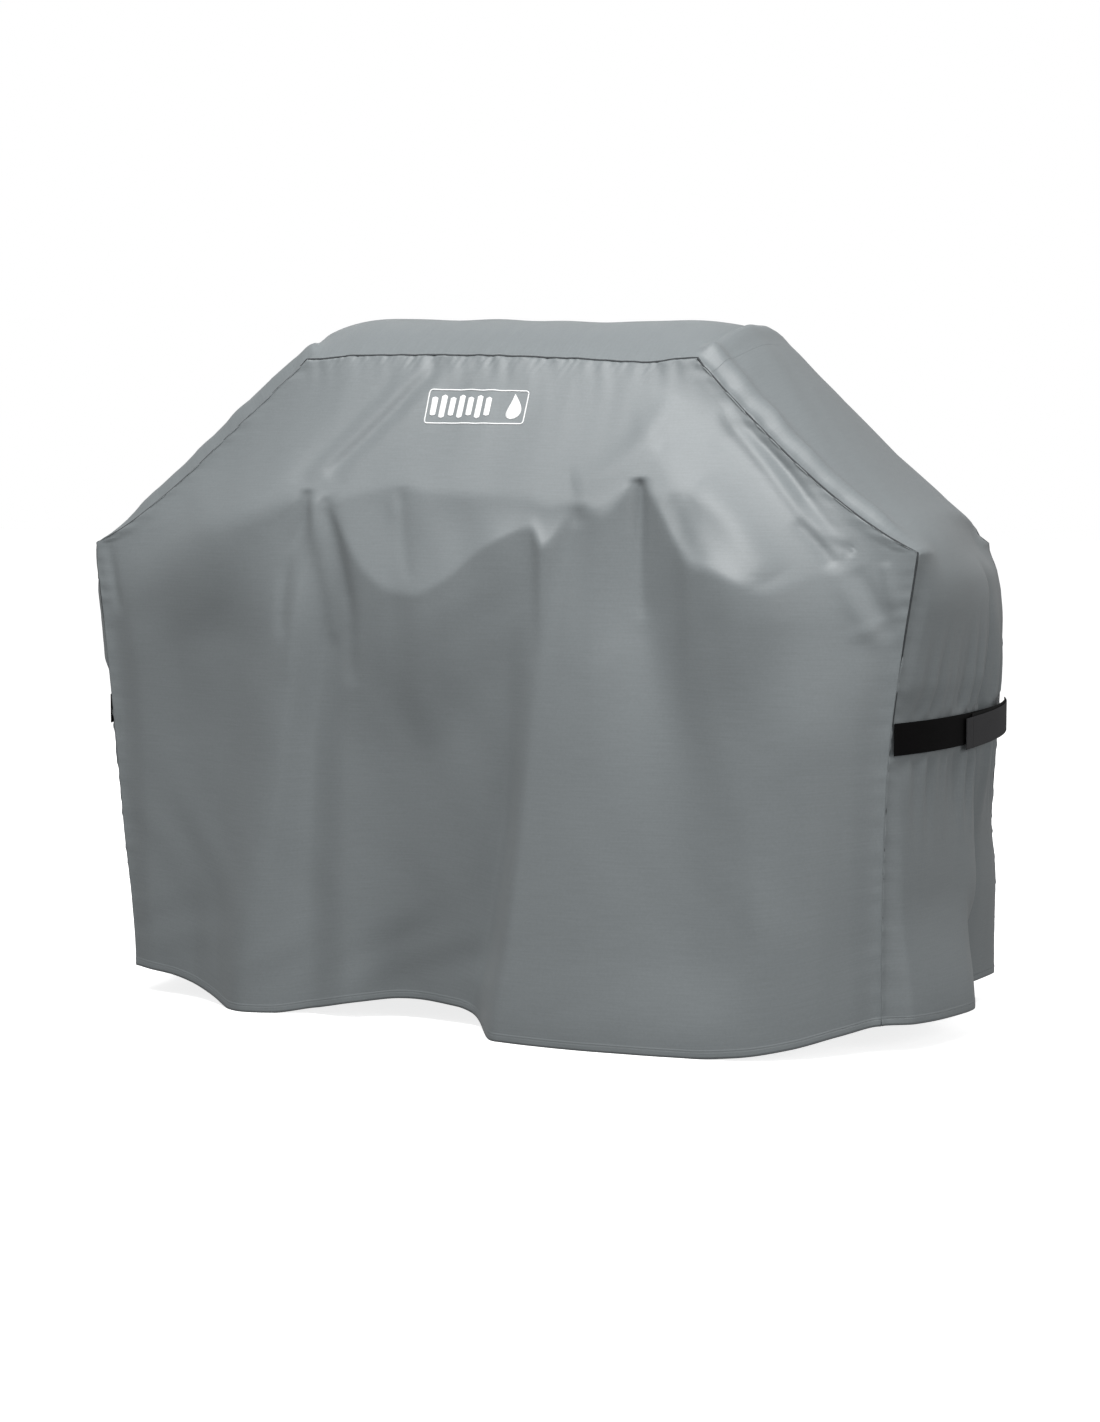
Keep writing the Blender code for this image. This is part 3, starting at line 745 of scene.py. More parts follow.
FRONT_SHAPE = {"lid_slope": LID_SLOPE, "ledge": FRONT_LEDGE, "lines": FRONT_LINES, "folds": FRONT_FOLDS}
front = add_wide_panel("front_cloth", 250, -1, FRONT_HEM, 1.66, FRONT_SHAPE)
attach(front, "root")
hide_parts("front_panel")

# ---------------------------------------------------------------------------
# Back panel: the same cut of cloth. It falls more steeply behind the lid and hangs in two fuller
# folds of its own down to the hem.
# ---------------------------------------------------------------------------
BACK_LEDGE = {
    "flat_share": 0.60,
    "upper": [
        (-0.74, 0.805), (-0.60, 0.830), (-0.45, 0.868), (-0.36, 0.896), (-0.28, 0.870), (-0.15, 0.880),
        (0.00, 0.900), (0.16, 0.872), (0.30, 0.868), (0.38, 0.892), (0.50, 0.850), (0.74, 0.805),
    ],
    "lower": [
        (-0.74, 0.780), (-0.60, 0.770), (-0.50, 0.760), (-0.42, 0.820), (-0.36, 0.892), (-0.31, 0.830),
        (-0.22, 0.755), (-0.12, 0.765), (-0.04, 0.840), (0.00, 0.896), (0.05, 0.840), (0.15, 0.742),
        (0.25, 0.750), (0.33, 0.830), (0.38, 0.888), (0.43, 0.820), (0.52, 0.752), (0.62, 0.765),
        (0.74, 0.780),
    ],
    "upper_round": [(-0.74, 0.030), (-0.36, 0.014), (0.0, 0.016), (0.38, 0.014), (0.74, 0.030)],
    "lower_round": [(-0.74, 0.025), (-0.36, 0.012), (0.0, 0.014), (0.38, 0.012), (0.74, 0.025)],
    "swag_slope": [(-0.74, 0.30), (-0.36, 0.28), (-0.18, 0.22), (0.0, 0.30), (0.20, 0.20), (0.38, 0.28),
                   (0.74, 0.30)],
    "rim_slope": [(-0.74, 0.0), (-0.50, 0.10), (-0.36, 0.0), (-0.17, 0.18), (0.0, 0.0), (0.20, 0.20),
                  (0.38, 0.0), (0.55, 0.14), (0.74, 0.0)],
    "hand_over": [(-0.74, 0.22), (0.0, 0.28), (0.74, 0.22)],
}
BACK_LINES = [
    [(-0.660, 0.318), (-0.650, 0.312), (-0.645, 0.316), (-0.640, 0.320)],
    [(-0.520, 0.350), (-0.540, 0.352), (-0.545, 0.366), (-0.545, 0.375)],
    [(-0.370, 0.335), (-0.385, 0.372), (-0.400, 0.405), (-0.405, 0.420)],
    [(-0.240, 0.362), (-0.270, 0.392), (-0.280, 0.422), (-0.290, 0.440)],
    [(-0.130, 0.362), (-0.150, 0.368), (-0.150, 0.390), (-0.155, 0.400)],
    [(0.000, 0.330), (-0.010, 0.334), (-0.020, 0.332), (-0.025, 0.330)],
    [(0.110, 0.360), (0.110, 0.350), (0.100, 0.340), (0.090, 0.336)],
    [(0.210, 0.368), (0.235, 0.362), (0.240, 0.366), (0.240, 0.370)],
    [(0.310, 0.350), (0.335, 0.378), (0.345, 0.396), (0.350, 0.405)],
    [(0.385, 0.336), (0.420, 0.356), (0.440, 0.368), (0.450, 0.374)],
    [(0.530, 0.348), (0.540, 0.334), (0.550, 0.330), (0.555, 0.330)],
    [(0.665, 0.318), (0.650, 0.314), (0.645, 0.312), (0.640, 0.312)],
]
BACK_FOLDS = [
    ([(-0.30, 1.06, 0.5), (-0.34, 0.98, 1.0), (-0.36, 0.90, 1.0)], 0.016, 0.0040),
    ([(0.06, 1.08, 0.4), (0.03, 0.99, 1.0), (0.00, 0.90, 1.0)], 0.014, -0.0030),
    ([(0.20, 1.08, 0.4), (0.30, 0.98, 1.0), (0.37, 0.90, 0.8)], 0.014, 0.0040),
    ([(0.17, 1.07, 0.4), (0.27, 0.98, 1.0), (0.34, 0.90, 0.8)], 0.010, -0.0030),
    ([(-0.40, 1.02, 0.4), (-0.50, 0.93, 1.0), (-0.62, 0.80, 0.8)], 0.014, 0.0050),
    ([(-0.44, 1.00, 0.3), (-0.53, 0.92, 1.0), (-0.65, 0.80, 0.8)], 0.012, -0.0055),
    ([(0.42, 1.00, 0.3), (0.52, 0.91, 1.0), (0.63, 0.80, 0.8)], 0.013, 0.0045),
    ([(0.45, 0.99, 0.3), (0.55, 0.905, 1.0), (0.66, 0.80, 0.8)], 0.011, -0.0050),
    ([(-0.36, 0.89, 1.0), (-0.365, 0.82, 0.8), (-0.375, 0.70, 0.3)], 0.014, -0.0060),
    ([(0.00, 0.895, 1.0), (-0.002, 0.82, 0.8), (-0.005, 0.70, 0.4)], 0.014, -0.0070),
    ([(0.38, 0.89, 1.0), (0.385, 0.82, 0.8), (0.40, 0.70, 0.3)], 0.013, -0.0060),
]
BACK_HEM = [
    (-0.70, 0.046), (-0.62, 0.034), (-0.52, 0.012), (-0.44, 0.0), (-0.22, 0.0), (-0.14, 0.012),
    (-0.02, 0.034), (0.10, 0.036), (0.22, 0.020), (0.30, 0.0), (0.40, 0.0), (0.50, 0.020), (0.60, 0.040),
    (0.70, 0.046),
]
BACK_SHAPE = {"lid_slope": 0.340, "ledge": BACK_LEDGE, "lines": BACK_LINES, "folds": BACK_FOLDS}
back = add_wide_panel("back_cloth", 220, 1, BACK_HEM, 1.62, BACK_SHAPE)
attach(back, "root")
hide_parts("back_panel")

# ---------------------------------------------------------------------------
# Side strip: one long band of the same cloth from the right hem over the lid to the left hem, pieced
# at a cross seam on each side. The straps draw its sides in, and a deep fold hangs behind the middle.
# ---------------------------------------------------------------------------
CROSS_SEAM_HEIGHT = TOP_SEAM_HEIGHT - 0.024
SEAM_SETBACK = 0.0046
TOP_CROWN = 0.078
TOP_EDGE_RISE = 0.0032
EDGE_SINK = 0.0032
CROWN_POWER = 2.5
# Crown of the strip at each height on the right side and on the left, where the grill fills it more.
RIGHT_CROWNS = [(0.73, 0.040), (0.812, 0.032), (0.905, 0.042), (1.03, 0.056), (1.080, 0.067), (1.100, 0.078)]
LEFT_CROWNS = [(0.73, 0.052), (0.812, 0.059), (0.905, 0.085), (1.03, 0.086), (1.100, 0.078)]
CROWN_SHARE_EDGE = 0.38
STRAP_HEIGHT = 0.499
STRAP_WIDTH = 0.051
STRAP_MARGIN = 0.014
STRAP_CROWN = 0.045
STRAP_HALF_DEPTH = seam_y(STRAP_HEIGHT) - SEAM_SETBACK
CLOTH_UNDER_STRAP = 0.0032
GATHER_LIFT = 0.0065
LEFT_BULGE = 0.012
STRIP_COLUMNS = 120
STRIP_WIDTH = 0.66
PATH_STEP = 0.004
PATH_ROUND = 0.045


def blur(values, sigma):
    """Gaussian running mean of rows, with both ends carried on straight."""
    reach = int(3 * sigma)
    kernel = np.exp(-0.5 * (np.arange(-reach, reach + 1) / sigma) ** 2)
    kernel /= kernel.sum()
    steps = np.arange(1, reach + 1)[:, None]
    before = values[0] - steps[::-1] * (values[1] - values[0])
    after = values[-1] + steps * (values[-1] - values[-2])
    padded = np.concatenate([before, values, after])
    return np.stack([np.convolve(padded[:, k], kernel, mode="valid") for k in range(values.shape[1])], 1)


SIDE_ROWS = rows_between([
    (HEM_LIFT, 0.0), (HEM_TOP - 0.001, 0.005), (HEM_TOP + 0.001, 0.001), (HEM_TOP + 0.006, 0.005),
    (0.440, 0.009), (0.600, 0.005), (0.760, 0.008), (0.860, 0.005),
    (CROSS_SEAM_HEIGHT - 0.0006, 0.006), (CROSS_SEAM_HEIGHT, 0.001),
])


def strip_line(stations):
    """The seam path in x and z at stations (x, z), a rounded path, its outward directions, and the run.

    The rounded path is the seam path blurred along its length: the cloth away from the seams
    rounds the shoulders and the lid's corners, where the seams keep them sharp. The run is the
    distance along the path from the right hem.
    """
    heights = np.linspace(HEM_LIFT, TOP_SEAM_HEIGHT, 500)
    side = np.stack([seam_x(heights), heights], axis=1)
    raw = np.concatenate([side, side[::-1] * (-1.0, 1.0)])
    length = run_along(raw)
    even = np.arange(0.0, length[-1], PATH_STEP)
    line = np.stack([np.interp(even, length, raw[:, k]) for k in (0, 1)], axis=1)
    soft = blur(line, PATH_ROUND / PATH_STEP)
    step = np.gradient(soft, axis=0)
    step /= np.linalg.norm(step, axis=1)[:, None]
    out = np.stack([step[:, 1], -step[:, 0]], axis=1)
    half = len(heights)
    side_at = np.interp(stations[:, 1], heights, length[:half])
    side_at = np.where(stations[:, 0] > 0, side_at, length[-1] - side_at)
    top_at = length[half - 1] + (TOP_WIDTH / 2 - stations[:, 0])
    at = np.where(stations[:, 1] < TOP_SEAM_HEIGHT - 1e-9, side_at, top_at)
    path, soft, out = (
        np.stack([np.interp(at, even, values[:, k]) for k in (0, 1)], axis=1) for values in (line, soft, out)
    )
    return path, soft, out, at


def strap_line(y):
    """x of the cloth just under the straps: the strap's crowned line between the seams."""
    share = np.clip(np.abs(y / STRAP_HALF_DEPTH), 0.0, 1.0)
    seam = seam_x(STRAP_HEIGHT + STRAP_WIDTH / 2 + STRAP_MARGIN)
    return seam + STRAP_CROWN * (1.0 - share**CROWN_POWER)


def strap_hang(y, side):
    """How far a side's strap is carried out with the corners of the cloth at its height."""
    front = ease((1.0 - y / STRAP_HALF_DEPTH) / 2.0)
    shift_front, shift_back = (corner_shift(facing, side, STRAP_HEIGHT) for facing in (-1, 1))
    return front * shift_front + (1.0 - front) * shift_back


# How far the side stands out past its seams, as (share of the depth, metres) at each height.
SIDE_LEVELS = [
    (HEM_LIFT, [(-1.0, 0.0), (-0.88, 0.042), (-0.62, 0.074), (-0.34, 0.088), (-0.20, 0.078), (-0.10, 0.036),
                (0.04, 0.010), (0.34, 0.002), (0.62, 0.008), (0.85, 0.012), (1.0, 0.0)]),
    (0.25, [(-1.0, 0.0), (-0.88, 0.024), (-0.62, 0.042), (-0.34, 0.052), (-0.08, 0.060), (0.03, 0.056),
            (0.09, 0.020), (0.30, 0.010), (0.50, 0.020), (0.70, 0.018), (0.88, 0.010), (1.0, 0.0)]),
    (0.43, [(-1.0, 0.0), (-0.90, 0.018), (-0.64, 0.032), (-0.36, 0.040), (-0.10, 0.048), (0.05, 0.050),
            (0.10, 0.026), (0.26, 0.022), (0.42, 0.032), (0.66, 0.018), (0.86, 0.005), (1.0, 0.0)]),
    (0.62, [(-1.0, 0.0), (-0.90, 0.018), (-0.66, 0.034), (-0.36, 0.042), (-0.06, 0.050), (0.05, 0.052),
            (0.10, 0.028), (0.26, 0.024), (0.40, 0.038), (0.64, 0.024), (0.86, 0.009), (1.0, 0.0)]),
    (0.73, [(-1.0, 0.0), (-0.88, 0.020), (-0.66, 0.034), (-0.36, 0.042), (0.08, 0.048), (0.16, 0.044),
            (0.24, 0.030), (0.38, 0.034), (0.62, 0.026), (0.88, 0.012), (1.0, 0.0)]),
]


def side_out(share, height, y, left):
    """Outward distance of the side cloth: between the levels, and drawn in to the straps at their height."""
    levels = np.array([level for level, _ in SIDE_LEVELS])
    curves = np.stack([through(share, knots) for _, knots in SIDE_LEVELS])
    position = np.interp(height, levels, np.arange(len(levels)))
    low = np.clip(position.astype(int), 0, len(levels) - 2)
    part = ease(position - low)
    column = np.arange(share.shape[1])[None, :]
    lower = curves[low, np.arange(share.shape[0])[:, None], column]
    upper = curves[low + 1, np.arange(share.shape[0])[:, None], column]
    out = lower + (upper - lower) * part
    full = ease((height - 0.25) / 0.30)
    near_front = np.exp(-(((share + 0.80) / 0.16) ** 2))
    slack = 0.75 * (1.0 - full) * ease(-share / 0.5)
    out = np.where(left, out * (1.0 - slack) + LEFT_BULGE * full * near_front, out)
    crown = 1.0 - np.abs(share) ** CROWN_POWER
    shoulder = np.where(left, through(height, LEFT_CROWNS), through(height, RIGHT_CROWNS)) * crown
    over = ease((height - 0.70) / 0.08)
    out = out * (1.0 - over) + shoulder * over
    gather = GATHER_LIFT * ripple(4.6 * share + 0.3) * ease((1.0 - np.abs(share)) / 0.1)
    away = np.abs(height - STRAP_HEIGHT) - STRAP_WIDTH / 2
    held = 1.0 - ease((away - 0.002) / 0.060)
    puff = ease(away / 0.016) * (1.0 - ease((away - 0.02) / 0.16))
    under = np.minimum(out, strap_line(y) - seam_x(height) - CLOTH_UNDER_STRAP)
    return under * held + out * (1.0 - held) + gather * puff


def strip_points(stations):
    """Stations by columns of points of the strip; columns run from the front seam to the back seam."""
    path, soft, out, run = strip_line(stations)
    share = np.linspace(-1.0, 1.0, STRIP_COLUMNS + 1)[None, :] + 0.0 * path[:, :1]
    height = path[:, 1:] + 0.0 * share
    half_depth = seam_y(height) - SEAM_SETBACK * seam_open(height)
    y = share * half_depth
    away = ease((1.0 - np.abs(share)) / CROWN_SHARE_EDGE)[..., None]
    base = path[:, None, :] * (1.0 - away) + soft[:, None, :] * away
    on_top = np.abs(stations[:, :1]) < TOP_WIDTH / 2 - 1e-6
    lid = 1.0 - 0.12 * ease((path[:, :1] + 0.15) / 0.30) + 0.07 * ease((-0.15 - path[:, :1]) / 0.15)
    crown = TOP_CROWN * lid * (1.0 - np.abs(share) ** CROWN_POWER)
    left = stations[:, :1] < 0.0
    reach = np.where(on_top, crown, side_out(share, height, y, left))
    seam_gap = (1.0 - np.abs(share)) * half_depth
    front_gap = (1.0 + share) * half_depth
    on_slope = ease((height - SHOULDER_HEIGHT) / 0.05) * ease((np.abs(stations[:, :1]) - 0.340) / 0.02)
    roll = 0.0090 * np.exp(-(((front_gap - 0.034) / 0.015) ** 2)) * (1.0 + 0.30 * ripple(height / 0.09))
    groove = 0.0045 * np.exp(-(((front_gap - 0.012) / 0.008) ** 2)) * (1.0 + 0.5 * ripple(height / 0.05))
    drag = 0.0010 * ripple((front_gap - 0.5 * height) / 0.13) * ease(seam_gap / 0.04)
    reach = reach + on_slope * (roll - groove + drag)
    reach = reach + seam_puckers(run[:, None] + 0.4 * seam_gap, seam_gap, 0.038, 0.018, 0.0018)
    reach = reach + 0.0012 * on_top * ripple(path[:, :1] / 0.21 + 0.6 * share) * ease(seam_gap / 0.03)
    sideways = np.array([1.0, 0.0]) * np.sign(stations[:, :1] + 1e-9)[:, None, :]
    steep = ease((height - 0.60) / 0.20)[..., None]
    place = base + (sideways * (1.0 - steep) + out[:, None, :] * steep) * reach[..., None]
    x, z = place[..., 0], place[..., 1]
    front = ease((1.0 - share) / 2.0)
    right_shift, left_shift = (
        front * corner_shift(-1, side, height) + (1.0 - front) * corner_shift(1, side, height)
        for side in (1, -1)
    )
    lean = np.where(on_top, np.clip(x / (TOP_WIDTH / 2), -1.0, 1.0) ** 3, np.sign(x))
    x = x + lean * np.where(left, left_shift, right_shift)
    high = ease((height - 0.95) / 0.15)
    near_front, near_back = (ease((-facing_share - 0.2) / 0.8) * high for facing_share in (share, -share))
    z = z + top_seam_wave(x, -1) * near_front + top_seam_wave(x, 1) * near_back
    z = z + TOP_EDGE_RISE * on_top * (np.abs(share) > 0.999)
    return np.stack([x, y, z], axis=-1)


def strip_edges(points):
    """Turns the strip's two long edges inwards, square to the cloth and towards the cover's middle."""
    inward = np.cross(points[:, 1] - points[:, 0], np.gradient(points[:, 0], axis=0))
    inward /= np.linalg.norm(inward, axis=1)[:, None]
    to_middle = np.array([0.0, 0.0, 0.5]) - points[:, 0]
    sign = np.where((inward * to_middle).sum(1) > 0, 1.0, -1.0)[:, None]
    sunk = (inward * sign * EDGE_SINK)[:, None, :]
    return np.concatenate([points[:, :1] + sunk, points, points[:, -1:] + sunk], axis=1)


def strip_mesh(name, points, outwards):
    """A strip piece's mesh with its edges turned in; its UVs run across from the front seam, and along."""
    whole = strip_edges(points)
    across = np.linspace(0.0, STRIP_WIDTH, whole.shape[1])
    flat = np.stack(np.meshgrid(across, run_along(whole[:, whole.shape[1] // 2])), axis=-1)
    return grid_mesh(name, whole, flat, outwards)


def add_side(name, side):
    """The strip from a cross seam down to the hem; side is 1 for the right and -1 for the left."""
    points = strip_points(np.stack([side * seam_x(SIDE_ROWS), SIDE_ROWS], axis=1))
    points[..., 0] += side * HEM_EXTRA * (SIDE_ROWS < HEM_TOP)[:, None]
    points[..., 2] = np.maximum(points[..., 2], FLOOR_GAP)
    return add_piece(name, strip_mesh(name, points, (float(side), 0.0, 0.3)), panel_cloth, CLOTH)


for name, side in (("right", 1), ("left", -1)):
    piece = add_side(f"{name}_side_cloth", side)
    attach(piece, "root")
    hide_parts(f"{name}_side_panel")

# ---------------------------------------------------------------------------
# Top panel: the middle piece of the strip, crowned over the lid between the two cross seams.
# ---------------------------------------------------------------------------
top_cloth = cloth_material("grey coated polyester, top", CLOTH_COLOUR, False)
edge_heights = rows_between([
    (CROSS_SEAM_HEIGHT, 0.0), (CROSS_SEAM_HEIGHT + 0.0006, 0.001), (TOP_SEAM_HEIGHT, 0.004),
])[:-1]
inner = np.linspace(TOP_WIDTH / 2, -TOP_WIDTH / 2, 150)
rising = np.stack([seam_x(edge_heights), edge_heights], axis=1)
level = np.stack([inner, np.full(len(inner), TOP_SEAM_HEIGHT)], axis=1)
top_points = strip_points(np.concatenate([rising, level, rising[::-1] * (-1.0, 1.0)]))
top = add_piece("top_cloth", strip_mesh("top_cloth", top_points, (0.0, 0.0, 1.0)), top_cloth, CLOTH)
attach(top, "root")
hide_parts("top_panel")

# ---------------------------------------------------------------------------
# Seam bindings: narrow tapes folded round the raw edges and sewn over them inside each seam, coloured dark as
# painted shade that lines each seam's gap.
# ---------------------------------------------------------------------------
TAPE_DEPTH = 0.0028
TAPE_CLOSED_DEPTH = 0.0034
TAPE_INSET = 0.0014
TAPE_RADIUS = 0.0019
CROSS_TAPE_RADIUS = 0.0013
CROSS_TAPE_DEPTH = 0.0040
TAPE_SIDES = 6

tape, tree, shader = new_material("grey seam tape")
shader.inputs["Roughness"].default_value = 0.8
place = tree.nodes.new("ShaderNodeTexCoord").outputs["Object"]
speck = place_group(tree, DUST, Place=place, Scale=40.0).outputs["Speck"]
# The tapes are real, but their dark colour is painted shade: where a seam gapes they show as a dark line in
# the gap.
mottle = shade(tree, (0.030, 0.033, 0.036), (0.060, 0.066, 0.070), calculate(tree, "ADD", speck, 0.5))
tree.links.new(mottle, shader.inputs["Base Color"])


def ring_faces(stations, ring):
    """Faces of a closed section carried along a line: point numbers of its sides, then of its two ends."""
    index = np.arange(stations * ring).reshape(stations, ring)
    sides = cells(np.concatenate([index, index[:, :1]], axis=1))
    return sides, [index[0][::-1].tolist(), index[-1].tolist()]


def tube(name, path, radius):
    """A seam tape piece: a six-sided tube of a radius along a path, closed at both ends."""
    along = np.gradient(path, axis=0)
    along /= np.linalg.norm(along, axis=1)[:, None]
    side = np.cross(along, (0.3, 0.5, 0.81))
    side /= np.linalg.norm(side, axis=1)[:, None]
    other = np.cross(along, side)
    turn = np.linspace(0.0, 2.0 * math.pi, TAPE_SIDES + 1)[:-1][None, :, None]
    points = path[:, None] + radius * (np.cos(turn) * side[:, None] + np.sin(turn) * other[:, None])
    sides, ends = ring_faces(len(path), TAPE_SIDES)
    return add_piece(name, smooth_mesh(name, points, sides.tolist() + ends), tape)


def tape_line(facing):
    """The front or back seam's line, under the panel's edge: up the right side, over, and down the left."""
    heights = rows_between([(HEM_LIFT + 0.004, 0.0), (TOP_SEAM_HEIGHT, 0.012)])
    inner = np.linspace(TOP_WIDTH / 2, -TOP_WIDTH / 2, 60)[1:-1]
    right = seam_x(heights) + corner_shift(facing, 1, heights)
    left = -seam_x(heights) - corner_shift(facing, -1, heights)
    x = np.concatenate([right, inner, left[::-1]])
    z = np.concatenate([heights, np.full(len(inner), TOP_SEAM_HEIGHT), heights[::-1]])
    x = x - TAPE_INSET * np.sign(x) * ease((TOP_SEAM_HEIGHT - z) / 0.01)
    y = facing * (seam_y(z) - TAPE_DEPTH - TAPE_CLOSED_DEPTH * (1.0 - seam_open(z)))
    lift = top_seam_wave(x, facing) * ease((z - 0.90) / (TOP_SEAM_HEIGHT - 0.90))
    return np.stack([x, y, z + lift + 0.0012 * (z > TOP_SEAM_HEIGHT - 1e-6)], axis=1)


for name, facing in (("front", -1), ("back", 1)):
    piece = tube(f"{name}_seam_binding", tape_line(facing), TAPE_RADIUS)
    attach(piece, "root")
    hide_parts(f"{name}_seam_tape")
for name, side in (("right", 1), ("left", -1)):
    station = np.array([[side * seam_x(CROSS_SEAM_HEIGHT), CROSS_SEAM_HEIGHT]])
    line = strip_points(station)[0, 3:-3] - (side * CROSS_TAPE_DEPTH, 0.0, CROSS_TAPE_DEPTH)
    piece = tube(f"{name}_cross_seam_binding", line, CROSS_TAPE_RADIUS)
    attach(piece, "root")
    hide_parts(f"{name}_cross_seam_tape")

# ---------------------------------------------------------------------------
# Straps: on each side a black loop strap is sewn into the front seam, and a charcoal strap with hook
# tape under it into the back seam. The charcoal strap closes over the loop strap; its end is a pull tab.
# ---------------------------------------------------------------------------
STRAP_TO_CLOTH = 0.0015
STRAP_THICKNESS = 0.002
HOOK_THICKNESS = 0.0015
LAYER_GAP = 0.0006
STRAP_ROOT_GAP = 0.004
LOOP_STRAP_END = 0.115
PULL_TAB_START = -0.040
STRAP_END = -0.070
TAB_GAP = 0.001
HOOK_STRAP_DROP = 0.008
HOOK_PATCH_LIFT = 0.005
PATCH_END = 0.243
STRAP_ROOT = seam_y(STRAP_HEIGHT) - STRAP_ROOT_GAP
LOOP_FACE = STRAP_TO_CLOTH + STRAP_THICKNESS
HOOK_FACE = LOOP_FACE + LAYER_GAP + HOOK_THICKNESS
STRAP_FACE = HOOK_FACE + LAYER_GAP + STRAP_THICKNESS


def webbing_material(name, dark, light, threads, gloss):
    """Woven tape: ribs along the strap and crossing picks; a looped pile has hardly any gloss."""
    material, tree, shader = new_material(name)
    shader.inputs["Roughness"].default_value = 0.65
    shader.inputs["Specular IOR Level"].default_value = gloss
    uv = tree.nodes.new("ShaderNodeUVMap")
    uv.uv_map = "cloth"
    weave = place_group(tree, WEAVE, Flat=uv.outputs[0], Threads_per_metre=threads)
    pile = noise(tree, uv.outputs[0], 900.0, 2.0, 0.7)
    tone = weighted_sum(tree, 0.0, (weave.outputs["Tone"], 1.2), (pile, 0.6))
    tree.links.new(shade(tree, dark, light, tone), shader.inputs["Base Color"])
    add_bump(tree, shader, weighted_sum(tree, 0.0, (weave.outputs["Height"], 0.00025), (pile, 0.0002)))
    return material


loop_webbing = webbing_material(
    "black loop webbing", (0.0008, 0.0006, 0.0007), (0.003, 0.0024, 0.0027), threads=700.0, gloss=0.08)
hook_webbing = webbing_material(
    "charcoal strap cloth", (0.021, 0.021, 0.023), (0.034, 0.034, 0.037), threads=900.0, gloss=0.40)
hook_tape = webbing_material(
    "black hook tape", (0.0010, 0.0010, 0.0010), (0.004, 0.004, 0.004), threads=600.0, gloss=0.15)


def strap_points(start, finish, face, thickness, drop=0.0, lift=0.0, columns=90):
    """A strap's closed section carried along its line from y = start to y = finish.

    The section is a flat band with round edges and a slightly thicker selvedge; x is the crowned
    strap line plus the layer's face, and the band runs down by drop towards its free end.
    """
    y = np.linspace(start, finish, columns + 1)[:, None]
    half = STRAP_WIDTH / 2
    half_across = np.array([0.0, 0.4, 0.8, 0.95, 0.985, 1.0])
    half_proud = 0.5 * thickness * np.array([0.88, 0.88, 0.90, 0.95, 0.62, 0.0])
    across = np.concatenate([-half_across[:0:-1], half_across])
    proud = np.concatenate([half_proud[:0:-1], half_proud])
    ring_z = np.concatenate([across, across[-2:0:-1]]) * half
    ring_x = np.concatenate([proud, -proud[-2:0:-1]]) - 0.5 * thickness
    x = strap_line(y) + face + ring_x[None, :]
    z = STRAP_HEIGHT + lift + ring_z[None, :] - drop * (STRAP_ROOT - y) / (STRAP_ROOT - STRAP_END)
    return np.stack([x, y + 0.0 * x, z], axis=-1)


def strap_piece(name, points, side, material):
    """A strap piece from its rings, both ends filled, mirrored to the left side if side is -1."""
    out = points[..., 0] + strap_hang(points[..., 1], side)
    points = np.stack([side * out, points[..., 1], points[..., 2]], axis=-1)
    flat = np.stack(np.meshgrid(run_along(points[:, 0]), run_along(points[0]), indexing="ij"), axis=-1)
    sides, ends = ring_faces(*points.shape[:2])
    faces = sides.tolist() + [end[::-1] for end in ends]
    away = (points - points.mean(axis=1, keepdims=True)).reshape(-1, 3)[sides[:, 0]]
    if (cell_normals(points, sides) * away).sum() < 0.0:
        faces = [face[::-1] for face in faces]
    mesh = smooth_mesh(name, points, faces, flat)
    mesh.set_sharp_from_angle(angle=math.radians(50.0))
    return add_piece(name, mesh, material)


for name, side in (("right", 1), ("left", -1)):
    loop = strap_points(-STRAP_ROOT, LOOP_STRAP_END, LOOP_FACE, STRAP_THICKNESS)
    loop = strap_piece(f"{name}_loop_band", loop, side, loop_webbing)
    hook = strap_points(STRAP_ROOT, PULL_TAB_START + TAB_GAP / 2, STRAP_FACE, STRAP_THICKNESS,
                        HOOK_STRAP_DROP)
    hook = strap_piece(f"{name}_hook_band", hook, side, hook_webbing)
    patch = strap_points(PATCH_END, PULL_TAB_START + TAB_GAP, HOOK_FACE, HOOK_THICKNESS, HOOK_STRAP_DROP,
                         lift=HOOK_PATCH_LIFT)
    patch = strap_piece(f"{name}_hook_tape", patch, side, hook_tape)
    tab = strap_points(PULL_TAB_START - TAB_GAP / 2, STRAP_END, STRAP_FACE, STRAP_THICKNESS, HOOK_STRAP_DROP,
                       columns=16)
    tab = strap_piece(f"{name}_tab", tab, side, hook_webbing)
    x = side * float(strap_line(0.27))
    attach(patch, f"{name}_hook")
    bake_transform(hook)
    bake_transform(loop)
    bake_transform(tab)
    for piece, node, slot in (
        (loop, f"{name}_loop_strap", "loop_webbing"),
        (hook, f"{name}_hook_strap", "hook_strap_cloth"),
        (patch, f"{name}_hook_patch", "hook_tape"),
        (tab, f"{name}_pull_tab", "hook_strap_cloth"),
    ):
        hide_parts(node)

# ---------------------------------------------------------------------------
# Printed mark: a plain generic mark in white ink on the lid slope, a rounded frame around seven upright
# bars and a drop-shaped flame.
# ---------------------------------------------------------------------------
PRINT_X = -0.015
PRINT_HEIGHT = 1.018
PRINT_SIZE = (0.182, 0.062)
FRAME_LINE = 0.0022
FRAME_RADIUS = 0.006
BAR_HEIGHTS = (0.034, 0.042, 0.034, 0.042, 0.034, 0.042, 0.034)
BAR_START = -0.078
BAR_PITCH = 0.0165
BAR_HALF_WIDTH = 0.0052
FLAME_PLACE = (0.066, -0.022)
FLAME_SIZE = (0.0145, 0.046)
INK_LIFT = 0.0007
INK_THICKNESS = 0.0003

